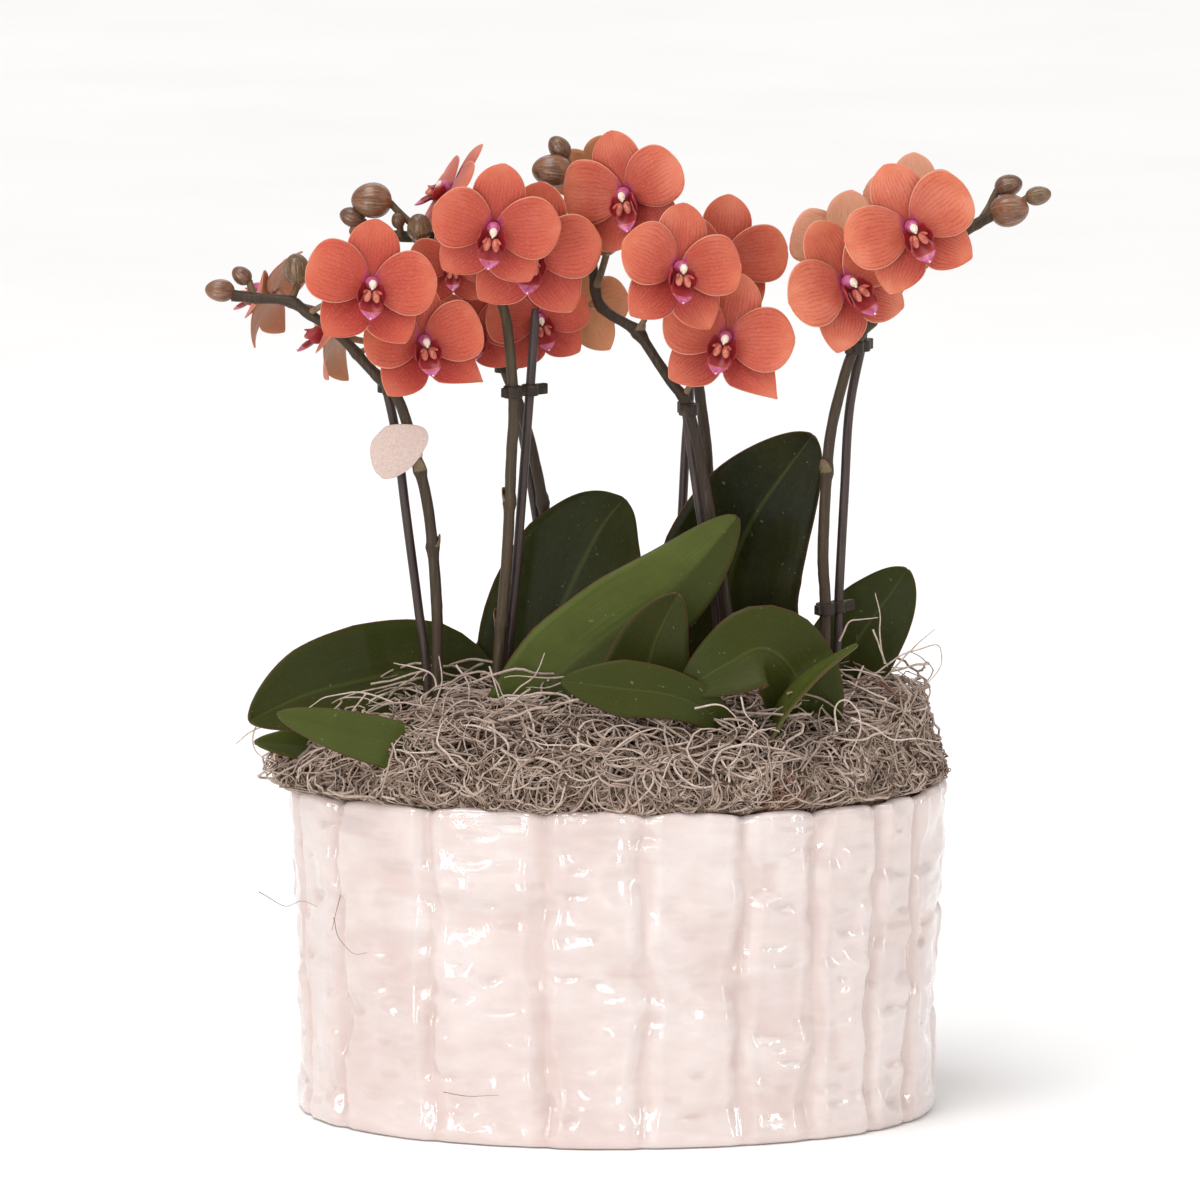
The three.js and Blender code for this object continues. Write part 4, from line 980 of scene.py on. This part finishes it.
def makeClips():
    material = newMaterial("clipPlastic", roughness=0.48, specular_ior_level=0.3)
    grain = noise(700, 3)
    wear = times(stretch(noise(160, 2), 0.55, 0.75), 0.4)
    worn = blend(wear, ramp(grain, [(0.3, "231913"), (0.75, "3a2c22")]), "6b5a4a")
    finished(material, worn, grain, 0.25, 0.0002)
    for name, spray in sprays.items():
        for number, height in enumerate(spray["clips"]):
            whole = joinParts(clipParts(spray, height))
            piece = finishPart(f"clip_{name}{number + 1}_moulded", whole, [material])
            piece.data.polygons.foreach_set("use_smooth", np.zeros(len(piece.data.polygons), bool))
            rounded = piece.modifiers.new("rounded", "BEVEL")
            rounded.width, rounded.segments, rounded.harden_normals = 0.00035, 2, False
            place(piece, "clip", f"clip_{name}{number + 1}")


makeClips()


# Tag: a small bare card with rounded corners on the left stem

tagSettings = {
    "height": 284.5, "thickness": 1.1, "offset": 6, "front": 3.5, "sleeve": (2.5, 3.5, 6), "steps": 72,
    "outline": [(-12, 2.9), (-6.4, 9.9), (2.5, 11.2), (9.9, 9.7), (12, 5.5), (10.3, 0.6), (5, -6.7),
                (-2.2, -11.2), (-7.6, -11.4), (-11.3, -6.3)],
}


def makeTag():
    hold = pointAt(sprays["a"]["stem"], tagSettings["height"])
    corners = tagSettings["outline"]
    closed = smoothPath([(x, z, 0) for x, z in corners[-2:] + corners + corners[:2]], 0.5)
    angle = np.unwrap(np.arctan2(closed[:, 1], closed[:, 0]))
    turn = np.linspace(0, 2 * math.pi, tagSettings["steps"], endpoint=False)
    order = np.argsort(np.mod(angle, 2 * math.pi))
    away = np.hypot(closed[:, 0], closed[:, 1])
    reach = np.interp(turn, np.mod(angle, 2 * math.pi)[order], away[order], period=2 * math.pi)
    half = tagSettings["thickness"] / 2
    rings = []
    for inset, depth in ((0.5, -1), (0.12, -0.8), (0, -0.4), (0, 0.4), (0.12, 0.8), (0.5, 1)):
        x, z = (reach - inset) * np.cos(turn), (reach - inset) * np.sin(turn)
        y = np.full(len(turn), hold[1] - tagSettings["front"] - half * depth)
        rings.append(np.stack([hold[0] - tagSettings["offset"] + x, y, hold[2] + z], -1))
    card = tubeRings(np.array(rings))
    sleeve = ringPart((hold[0], hold[1], tagSettings["height"]), *tagSettings["sleeve"])
    piece = finishPart("tag_card", joinParts([card, sleeve]), [tagCard()])
    place(piece, "tag", "tag")


def tagCard():
    material = newMaterial("speckledCard", roughness=0.75, specular_ior_level=0.3)
    fibre = noise(900, 4, 0.7)
    specks = stretch(noise(1500, 1), 0.62, 0.7)
    base = ramp(fibre, [(0.3, "c9aea4"), (0.7, "dcc8bf")])
    return finished(material, blend(times(specks, 0.35), base, "b3958a"), fibre, 0.3, 0.0002)


makeTag()
print("clips and tag are made")


# Blooms, modelled looking out along +Z with +Y up and then turned into place

bloomSettings = {
    "heart": 1.8, "thickness": 0.8,
    "petal": {"length": 24.2, "halfWidth": 12.8, "base": 1.2, "lift": 1.6, "cup": 0.9, "peak": 0.56,
              "point": 2.5},
    "sepal": {"length": 24.6, "halfWidth": 10.6, "base": -0.4, "lift": 1.0, "cup": 0.4, "peak": 0.5,
              "point": 1.9},
    "rows": 22, "columns": 15, "bladeColumns": 9, "seed": 11,
    "tint": {"a": 1.0, "b": 0.95, "c": 1.1, "d": 0.65, "e": 0.15, "f": 0.6},  # how red the blooms are; spray c's highest value is also painted shade, for its blooms hang in shadow behind
}


def widthAt(v, peak, point):
    rising = 0.26 + 0.74 * np.sin(np.clip(v / peak, 0, 1) * math.pi / 2) ** 0.72
    falling = np.clip(1 - np.clip((v - peak) / (1 - peak), 0, 1) ** point, 0, 1) ** (1.25 / point)
    return np.where(v < peak, rising, falling)


def tepalGrid(angle, length, halfWidth, base, lift, cup, peak, point, curl=0.0, ruffle=0.35, phase=0.0):
    rows, columns = bloomSettings["rows"], bloomSettings["columns"]
    a = math.radians(angle)
    out, side = np.array([math.cos(a), math.sin(a), 0]), np.array([math.sin(a), -math.cos(a), 0])
    v = np.sin(np.linspace(0, 1, rows) * math.pi / 2)[:, None]
    u = np.linspace(-1, 1, columns)[None, :]
    half = halfWidth * np.maximum(widthAt(v, peak, point), 0.012)
    rise = base + lift * np.sin(v * 2.4) + cup * u ** 2 * half / halfWidth
    rise = rise - 0.35 * np.exp(-(u * half / 0.9) ** 2) * v * (1 - v) * 4  # the crease along the middle
    rise = rise + ruffle * np.sin(v * 7 + phase + u * 2) * u ** 2 * v + curl * v ** 3
    reach = bloomSettings["heart"] + length * v
    return out * reach[..., None] + side * (u * half)[..., None] + np.array([0, 0, 1.0]) * rise[..., None]


def bladeGrid(spine, widths, normal, dish):
    path = smoothPath(spine, 0.6)
    v = np.linspace(0, 1, len(path))
    along = unit(np.gradient(path, axis=0))
    across = unit(np.cross(along, np.array(normal, float)))
    up = np.cross(across, along)
    half = np.interp(v, np.linspace(0, 1, len(widths)), widths)
    u = np.linspace(-1, 1, bloomSettings["bladeColumns"])
    return (path[:, None] + across[:, None] * (u[None, :] * half[:, None])[..., None]
            + up[:, None] * (dish * u[None, :] ** 2 * half[:, None])[..., None])


def heartParts():
    petalFinish, lipFinish, capFinish = 0, 1, 2
    parts = [
        ball((0, 0, 0.4), [(2.5, 0, 0), (0, 2.5, 0), (0, 0, 2.7)], petalFinish, tone=0.6),
        ball((0, 0.8, 3.8), [(2.6, 0, 0), (0, 2.6, -0.3), (0, 0.2, 3.4)], lipFinish, tone=0.85),
        ball((0.1, -0.1, 6.7), [(1.55, 0, 0), (0, 1.9, 0.2), (0, -0.3, 1.5)], capFinish),
        ball((0, -1.6, 7.2), [(0.6, 0, 0), (0, 0.9, 0), (0, 0, 0.7)], capFinish),
    ]
    for x in (-1, 1):
        lobe = [(x * 0.9, -2.0, 2.6), (x * 3.2, -3.4, 4.0), (x * 5.2, -4.0, 6.2), (x * 5.9, -3.8, 8.8)]
        blade = bladeGrid(lobe, [2.4, 4.0, 4.5, 3.6, 0.8], (-x * 0.5, 0, 1), 0.2)
        parts.append(sheet(blade, 0.7, lipFinish, tone=0.12))
        finger = axesAlong((x * 0.2, -0.85, 0.5), 2.9, 5.6)
        parts.append(ball((x * 1.65, -5.0, 8.0), finger, lipFinish, tone=0.5))
        tooth = axesAlong((x * 0.5, -0.3, 0.8), 1.3, 4.2)
        parts.append(ball((x * 2.6, -3.2, 8.6), tooth, lipFinish, tone=0.4, rows=7, around=10))
    tongue = [(0, -3.0, 3.4), (0, -7.5, 6.0), (0, -11.5, 8.2), (0, -14.6, 10.6)]
    grid = bladeGrid(tongue, [2.6, 3.4, 4.0, 5.0, 4.6, 3.0, 0.4], (0, 0.3, 1), 0.3)
    blade = sheet(grid, 0.8, lipFinish)
    blade["tone"] = 0.02 + smoothStep((blade["uv"][:, 1] - 0.68) / 0.1) * 0.9
    spot = ball((0, -14.0, 10.9), [(0.42, 0, 0), (0, 0.42, 0), (0, 0, 0.42)], capFinish, rows=5, around=8)
    return parts + [blade, spot]


def bloomPart(bloom, random):
    jitter = lambda amount: random.uniform(-amount, amount)
    petal, sepal = bloomSettings["petal"], bloomSettings["sepal"]
    thickness = bloomSettings["thickness"]
    parts, bend = heartParts(), bloom.get("curl", 0)
    for part in parts:
        part["points"] = part["points"] * (1, 1, bloom.get("reach", 1))  # a lip that stands further out
    for angle in (14, 166):
        shape = {**petal, "point": petal["point"] + jitter(0.5)}
        shape["length"] *= 1 + jitter(0.04)
        shape["halfWidth"] *= 1 + jitter(0.06)
        grid = tepalGrid(angle + jitter(5), **shape, ruffle=0.5 + jitter(0.25), curl=jitter(1.6) + bend,
                         phase=jitter(3))
        parts.append(sheet(grid, thickness, tone=0.1 + jitter(0.06)))
    pointed = {"point": 1.25, "peak": 0.42, "length": sepal["length"] * 1.16}
    for angle, point in ((90, 2.1), (230, 1.7), (310, 1.7)):
        shape = {**sepal, "point": point}
        if bloom.get("pointed") and angle == 310:
            shape.update(pointed)
            angle += 14
        grid = tepalGrid(angle + jitter(3), **shape, curl=jitter(0.9) - 0.4 + bend, phase=jitter(3))
        parts.append(sheet(grid, thickness, tone=(0.3 if angle == 90 else 0.95) + jitter(0.05)))
    part = joinParts(parts)
    out = look(bloom)
    level = unit(np.array([0, 0, 1.0]) - out * out[2])
    right = np.cross(level, out)
    spin = math.radians(bloom["roll"])
    up = level * math.cos(spin) - right * math.sin(spin)
    frameOf = np.array([np.cross(up, out), up, out])
    part["points"] = part["points"] @ frameOf * bloom["size"] + np.array(bloom["at"], float)
    return part


def makeBlooms():
    materials = [petalSkin(), lipSkin(), capSkin()]
    random = np.random.default_rng(bloomSettings["seed"])
    for spray, values in sprays.items():
        for name, bloom in values["blooms"].items():
            piece = finishPart(f"bloom_{name}_flower", bloomPart(bloom, random), materials)
            tint = np.full(len(piece.data.vertices), bloomSettings["tint"][spray])
            storeNumbers(piece.data, "tint", tint)
            place(piece, "petal", f"bloom_{name}")


def petalSkin():
    material = newMaterial(
        "petalSkin", roughness=0.5, sheen_weight=0.18, sheen_roughness=0.4, specular_ior_level=0.3,
        subsurface_weight=0.15, subsurface_scale=0.0015)
    tone, side = readNumber("tone"), readNumber("side")
    u, v = addNode("ShaderNodeSeparateXYZ", {0: surfacePoint()}).outputs[:2]
    middle = times(maths("ABSOLUTE", maths("SUBTRACT", u, 0.5)), 2.0)
    cloud = noise(70, 3)
    coral = ramp(cloud, [(0.3, "c9644c"), (0.7, "dd8a6e"), (0.5, "d37657")])
    tint = readNumber("tint")
    # deeper red towards the heart by the spray's tint: the blooms' own colour, and for spray c also
    # painted shade
    inner = times(tint, stretch(v, 1.0, 0.25, 0.45, 1.0))
    inner = times(inner, stretch(tone, 0.3, 0.9, 0.7, 1.0))
    coral = blend(inner, coral, "bf4a37")
    wander = surfaceNoise((2, 3, 1), 3, 2)
    lines = maths("SINE", plus(times(u, 92.0), times(wander, 9.0)))
    fibre = surfaceNoise((60, 2.0, 1), 2.0, 3)
    vein = times(stretch(lines, 0.2, 1.0), stretch(fibre, 0.3, 0.7))
    strength = times(stretch(v, 1.0, 0.3), stretch(tone, 0, 1, 0.6, 1.0))
    skin = blend(times(vein, strength), coral, "a02a26")
    blush = times(stretch(v, 0.7, 0.08), stretch(tone, 0.0, 0.9, 0.45, 1.0))
    skin = blend(blush, skin, "9c2621")
    skin = blend(stretch(v, 0.08, 0.03), skin, "a83a5c")
    edge = maths("MAXIMUM", middle, v)
    skin = blend(stretch(edge, 0.95, 0.99, 0, 0.5), skin, "edb896")
    back = blend(stretch(fibre, 0.35, 0.65), "d38f6a", "ba7850")
    pale = blend(stretch(fibre, 0.35, 0.65), "e9ae92", "d89377")
    back = blend(stretch(tint, 0.1, 0.6), pale, back)
    back = blend(stretch(v, 0.9, 0.2, 0, 0.35), back, "9a7648")
    skin = blend(side, back, skin)
    grain = noise(1500, 2)
    # painted glints: pale specks in the fine grain stand for the sparkle of the petal skin
    skin = blend(stretch(grain, 0.5, 0.8, 0, 0.16), skin, "f0b592")
    return finished(material, skin, plus(times(vein, -0.6), times(grain, 0.35)), 0.35, 0.0004)


def lipSkin():
    material = newMaterial(
        "lipSkin", roughness=0.38, subsurface_weight=0.1, subsurface_scale=0.001, specular_ior_level=0.45)
    base = ramp(readNumber("tone"), [(0.0, "8c2126"), (1.0, "c76a9c"), (0.25, "a62f2e"), (0.42, "c0614c"),
                                     (0.55, "cb7f68"), (0.75, "b5527f")])
    mottle = noise(420, 3)
    skin = blend(stretch(mottle, 0.45, 0.6, 0, 0.6), base, "9c2a30")
    return finished(material, skin, mottle, 0.3, 0.0003)


def capSkin():
    return grainMaterial(
        "antherCap", (600, 3), [(0.35, "e4c9b2"), (0.7, "f6ecdf")], (0.3, 0.0002), roughness=0.4,
        subsurface_weight=0.2, subsurface_scale=0.001, specular_ior_level=0.5)


makeBlooms()
print("blooms are made")


# Moss: a dark felt mound in the planter's mouth, with curly strands laid over it and over the rim

mossSettings = {
    "rise": [(0.93, 139), (0.955, 144), (0.94, 152), (0.87, 159), (0.66, 168), (0.34, 173), (0.02, 175)],
    "leftHang": 9, "leftSink": 6, "rightHeap": 12, "columns": 110, "seed": 3,
    "rimRings": [(0.93, 138), (0.95, 141), (0.985, 142.5), (0.985, 147), (0.95, 153)],
    "limit": {  # how far out strands may lie: shares of the planter, heights and places in millimetres
        "inside": 0.94, "above": (139.5, 143), "left": (-90, -140), "hang": (0.05, 0.13),
        "falling": (147, 163), "uneven": 0.035, "soft": 0.18},
    "curls": [(1.6, 1.0, 0.5, 0.5, 15), (0.8, 1.7, 1.1, 0.6, 24),  # turns, two radii, height and steps
              (1.1, 0.7, 1.4, 0.5, 19), (0.36, 3.4, 2.4, 0.5, 54)],
    "wander": 0.012, "felt": {"size": 0.009, "depth": 0.004},
    "loose": {"strays": (0.42, 0.95), "hairs": (0.14, 0.1)},  # girth and tone
    "layers": {  # density, size, thickness, tilt, lift, and the darkest and lightest tone of the strands; the lower layers are painted darker, as painted shade under the top strands
        "bed": (46000.0, 0.0066, 0.00048, 0.35, 0.0, 0.0, 0.45),
        "middle": (40000.0, 0.0062, 0.00055, 0.4, 0.002, 0.25, 0.85),
        "top": (30000.0, 0.0084, 0.00062, 0.5, 0.0065, 0.55, 1.0),
        "rim": (110000.0, 0.0052, 0.00048, 0.3, 0.0005, 0.2, 0.9),
    },
    "strays": [  # single strands that stand out of the heap or hang on the pot
        [(-93, -46, 181), (-104, -46, 185), (-113, -46, 185), (-122, -46, 183), (-128, -46, 179)],
        [(-104, -46, 185), (-108, -46, 180), (-112, -46, 175)],
        [(-75, -36, 185), (-77, -36, 191), (-83, -36, 194), (-93, -36, 196)],
        [(-75, -36, 180), (-73, -36, 189), (-74, -36, 199)],
        [(-139, -30, 174), (-148, -30, 172), (-152, -31, 164), (-150, -32, 157), (-142, -33, 153)],
        [(-140, -30, 170), (-151, -30, 167), (-159, -30, 161)],
        [(-49, -40, 174), (-42, -41, 185), (-34, -41, 192), (-30, -40, 201)],
        [(-53, -38, 195), (-49, -40, 182), (-45, -42, 172)],
        [(-67, -40, 196), (-62, -40, 188), (-62, -41, 178)],
        [(93, -16, 202), (97, -16, 210), (102, -16, 211), (109, -16, 212)],
        [(112, -14, 192), (110, -14, 202), (110, -14, 213), (108, -14, 222)],
        [(103, -14, 184), (118, -14, 195), (126, -14, 198), (134, -14, 200), (136, -14, 195),
         (135, -14, 190), (130, -14, 184)],
        [(112, -10, 185), (124, -10, 198), (133, -10, 206)],
        [(107, -16, 207), (110, -16, 199), (113, -16, 191)],
        [(91, -66, 172), (90, -66, 181), (92, -66, 185), (96, -67, 185), (100, -68, 180), (100, -70, 172),
         (96, -73, 164)],
        [(97, -60, 177), (106, -60, 173), (114, -60, 168), (124, -58, 168), (134, -50, 165)],
        [(32, -72, 183), (42, -74, 185), (48, -75, 181), (51, -76, 175)],
        [(51, -72, 188), (53, -74, 181), (58, -76, 176)],
    ],
    "hairs": [  # thin loose hairs that cling to the outside of the planter
        [(-150, -30, 98), (-139, -30, 92), (-132, -34, 95), (-125, -42, 94)],
        [(-118, -50, 91), (-116, -52, 83), (-110, -56, 77), (-104, -60, 78)],
        [(-115, -52, 101), (-117, -50, 93), (-119, -48, 85)],
        [(-72, -80, 23), (-61, -83.5, 22), (-49, -86, 23)],
    ],
}


def mossRings(levels):
    random = np.random.default_rng(mossSettings["seed"])
    angle = np.arange(mossSettings["columns"]) * 2 * math.pi / mossSettings["columns"]
    left = np.maximum(0, -np.cos(angle)) ** 2
    rings = []
    for share, height in levels:
        over = mossSettings["leftHang"] * left * np.clip((height - 146) / 5, 0, 1) * (share > 0.85)
        ends = smoothStep((share * np.cos(angle) - 0.45) / 0.5) * mossSettings["rightHeap"]
        ends = ends - smoothStep((-share * np.cos(angle) - 0.5) / 0.5) * mossSettings["leftSink"]
        swell = 0.8 * sum(random.uniform(-1, 1) * np.sin(n * angle + random.uniform(0, 6))
                          for n in (3, 5, 8, 13))
        rings.append(np.stack([
            (planter["halfLength"] * share + over) * np.cos(angle),
            (planter["halfDepth"] * share + over * 0.4) * np.sin(angle),
            height + (swell + ends) * smoothStep((height - 144) / 10) + 0 * angle], -1))
    return np.array(rings)


def between(value, low, high, toLow=0.0, toHigh=1.0):
    return addNode("ShaderNodeMapRange", {0: value, 1: low, 2: high, 3: toLow, 4: toHigh})


def insideRim():
    limits = mossSettings["limit"]
    above, left, falling = [[v * millimetre for v in limits[key]] for key in ("above", "left", "falling")]
    place = geometry("InputPosition").outputs[0]
    axes = addNode("ShaderNodeSeparateXYZ", {0: place}).outputs
    length, depth = planter["halfLength"] * millimetre, planter["halfDepth"] * millimetre
    flat = vector("MULTIPLY", place, (1 / length, 1 / depth, 0))
    share = addNode("ShaderNodeVectorMath", {0: flat}, operation="LENGTH").outputs["Value"]
    over = between(axes[2], *above)
    fade = plus(between(axes[2], *falling, 0.0, -1.2), 1.0)
    out = times(between(axes[0], *left, *limits["hang"]), fade)
    patches = addNode("ShaderNodeTexNoise", {"Vector": place, "Scale": 85.0, "Detail": 2.0})
    out = plus(out, stretch(patches, 0.3, 0.7, -limits["uneven"], limits["uneven"]))
    limit = plus(limits["inside"], times(over, out))
    beyond = times(maths("SUBTRACT", share, limit), limits["soft"])
    softened = plus(limit, times(over, beyond))
    factor = maths("MINIMUM", 1.0, maths("DIVIDE", softened, share))
    return vector("MULTIPLY", place, addNode("ShaderNodeCombineXYZ", {0: factor, 1: factor, 2: 1.0}))


def draw(kind, low, high, seed):
    first = {"FLOAT_VECTOR": 0, "FLOAT": 2, "INT": 4}[kind]
    node = addNode("FunctionNodeRandomValue", {first: low, first + 1: high, "Seed": seed}, data_type=kind)
    return next(output for output in node.outputs if output.enabled)


def curlPool(tree):
    shapes = []
    for curl in mossSettings["curls"]:
        words = ("Rotations", "Start Radius", "End Radius", "Height", "Resolution")
        shapes.append(geometry("CurveSpiral", dict(zip(words, curl))))
    pool = geometry("JoinGeometry")
    for shape in reversed(shapes):
        single = geometry("GeometryToInstance", {0: shape})
        tree.links.new(single.outputs[0], pool.inputs[0])
    return pool


def mossTree():
    tree, inputs = newTree("curlyStrands", {
        "Density": ("Float", 50000.0), "Size": ("Float", 0.01), "Thickness": ("Float", 0.0005),
        "Tilt": ("Float", 0.5), "Lift": ("Float", 0.001), "Dark": ("Float", 0.0), "Light": ("Float", 1.0),
        "Seed": ("Int", 1), "Material": ("Material", None)})
    points = geometry("DistributePointsOnFaces", {
        "Mesh": inputs["Geometry"], "Density": inputs["Density"], "Seed": inputs["Seed"]})
    lift = vector("SCALE", points.outputs["Normal"], inputs["Lift"])
    raised = geometry("SetPosition", {"Geometry": points, "Offset": lift})
    leaning = vector("SCALE", draw("FLOAT_VECTOR", (-1, -1, 0), (1, 1, 0), 11), inputs["Tilt"])
    spin = addNode("ShaderNodeCombineXYZ", {"Z": draw("FLOAT", 0.0, 6.283, 12)})
    turn = addNode("FunctionNodeEulerToRotation", {0: vector("ADD", leaning, spin)})
    rotation = addNode("FunctionNodeRotateRotation", {
        "Rotation": points.outputs["Rotation"], "Rotate By": turn}, rotation_space="LOCAL")
    strands = geometry("InstanceOnPoints", {
        "Points": raised, "Instance": curlPool(tree), "Pick Instance": True,
        "Instance Index": draw("INT", 0, len(mossSettings["curls"]) - 1, 14), "Rotation": rotation,
        "Scale": times(draw("FLOAT", 0.55, 1.35, 13), inputs["Size"])})
    # painted shade: each layer's strands take a tone between its Dark and Light, darker in the lower
    # layers
    toned = geometry("StoreNamedAttribute", {
        "Geometry": strands, "Name": "tone", "Value": draw("FLOAT", inputs["Dark"], inputs["Light"], 15)},
        data_type="FLOAT", domain="INSTANCE")
    curves = geometry("RealizeInstances", {"Geometry": toned})
    tone = geometry("InputNamedAttribute", {"Name": "tone"}, data_type="FLOAT")
    push = jitterNoise(mossSettings["wander"], {"W": times(tone, 53.0), "Scale": 45.0, "Detail": 1.0},
                       noise_dimensions="4D")
    bent = geometry("SetPosition", {"Geometry": curves, "Offset": push})
    kept = geometry("SetPosition", {"Geometry": bent, "Position": insideRim()})
    along = geometry("SplineParameter").outputs["Factor"]
    solid = sweep(kept, 3, times(between(along, 0.45, 1.0, 1.0, 0.35), inputs["Thickness"]))
    closeTree(solid, inputs["Material"])
    return tree


def makeMoss():
    fibre, felt = mossFibre(), mossFelt()
    mound = tubeRings(mossRings([(0.93, 128), *mossSettings["rise"]]))
    base = finishPart("moss_felt", mound, [felt])
    rough = base.modifiers.new("rough", "DISPLACE")
    rough.texture = bpy.data.textures.new("tufts", "CLOUDS")
    rough.texture.noise_scale = mossSettings["felt"]["size"]
    rough.strength, rough.texture_coords = mossSettings["felt"]["depth"], "LOCAL"
    place(base, "moss")
    top, rim = mossRings(mossSettings["rise"][1:]), mossRings(mossSettings["rimRings"])
    tree = mossTree()
    words = ("Density", "Size", "Thickness", "Tilt", "Lift", "Dark", "Light")
    for number, (name, layer) in enumerate(mossSettings["layers"].items()):
        surface = tubeRings(rim if name == "rim" else top, closed=False)
        piece = finishPart(f"moss_{name}", surface, [fibre])
        runTree(piece, tree, {**dict(zip(words, layer)), "Seed": number + 5, "Material": fibre})
        place(piece, "moss", *(["moss"] if name == "top" else []))
    for name, (girth, tone) in mossSettings["loose"].items():
        paths = [(line, girth * np.linspace(1.1, 0.5, len(line)), tone)
                 for line in (smoothPath(points, 1.2) for points in mossSettings[name])]
        place(tubes(f"moss_{name}", paths, fibre, Sides=5, Lumps=0.0009, **{"Lump Size": 120.0}), "moss")


def mossFibre():
    material = newMaterial("mossFibre", roughness=0.85, specular_ior_level=0.2)
    tone = readNumber("tone")
    base = ramp(tone, [(0.0, "4b3b30"), (1.0, "d6c3b6"), (0.3, "7f6a5b"), (0.6, "a89385"),
                       (0.85, "c1ad9f")])
    rust = stretch(noise(30, 2), 0.6, 0.68, 0, 0.6)
    base = blend(times(rust, stretch(tone, 0.8, 0.3)), base, "87543a")
    grain = noise(500, 3)
    base = blend(stretch(grain, 0.4, 0.7, 0, 0.35), base, "6a5648")
    return finished(material, base, grain, 0.3, 0.0003)


def mossFelt():
    return grainMaterial(
        "mossFelt", (260, 5, 0.7), [(0.38, "3a2d24"), (0.68, "7a6656")], (0.9, 0.002),
        roughness=0.95, specular_ior_level=0.1)


makeMoss()
print("moss is made")


# Inside the planter: nursery pots, bark and wicks keep their own shape and get their own finish

def dressNodes():
    plastic = grainMaterial(
        "potPlastic", (240, 3), [(0.3, "6b4e3e"), (0.75, "876653")], (0.2, 0.0003),
        roughness=0.5, specular_ior_level=0.4)
    bark = newMaterial("orchidBark", roughness=0.9, specular_ior_level=0.2)
    cells = addNode("ShaderNodeTexVoronoi", {"Vector": objectPoint(), "Scale": 95.0})
    chips = addNode("ShaderNodeSeparateXYZ", {0: cells.outputs["Color"]}).outputs[0]
    shade = ramp(chips, [(0.1, "3b271b"), (0.9, "8a6243"), (0.5, "5c3f2c")])
    finished(bark, shade, cells.outputs["Distance"], 0.9, 0.004)
    wick = newMaterial("wickCotton", roughness=0.9, sheen_weight=0.3, specular_ior_level=0.2)
    twist = addNode("ShaderNodeTexWave", {
        "Vector": objectPoint((1, 1, 2)), "Scale": 120.0, "Distortion": 2.0}, bands_direction="DIAGONAL")
    twist = twist.outputs["Fac"]
    finished(wick, ramp(twist, [(0.2, "c4bca8"), (0.8, "efeadd")]), twist, 0.6, 0.0006)
    for kind, material in (("nursery_pot", plastic), ("bark", bark), ("wick", wick)):
        for name in foliage:
            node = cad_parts[f"{kind}_{name}"]
            for slot in node.material_slots:
                slot.material = material


dressNodes()
print("inner pots are dressed")
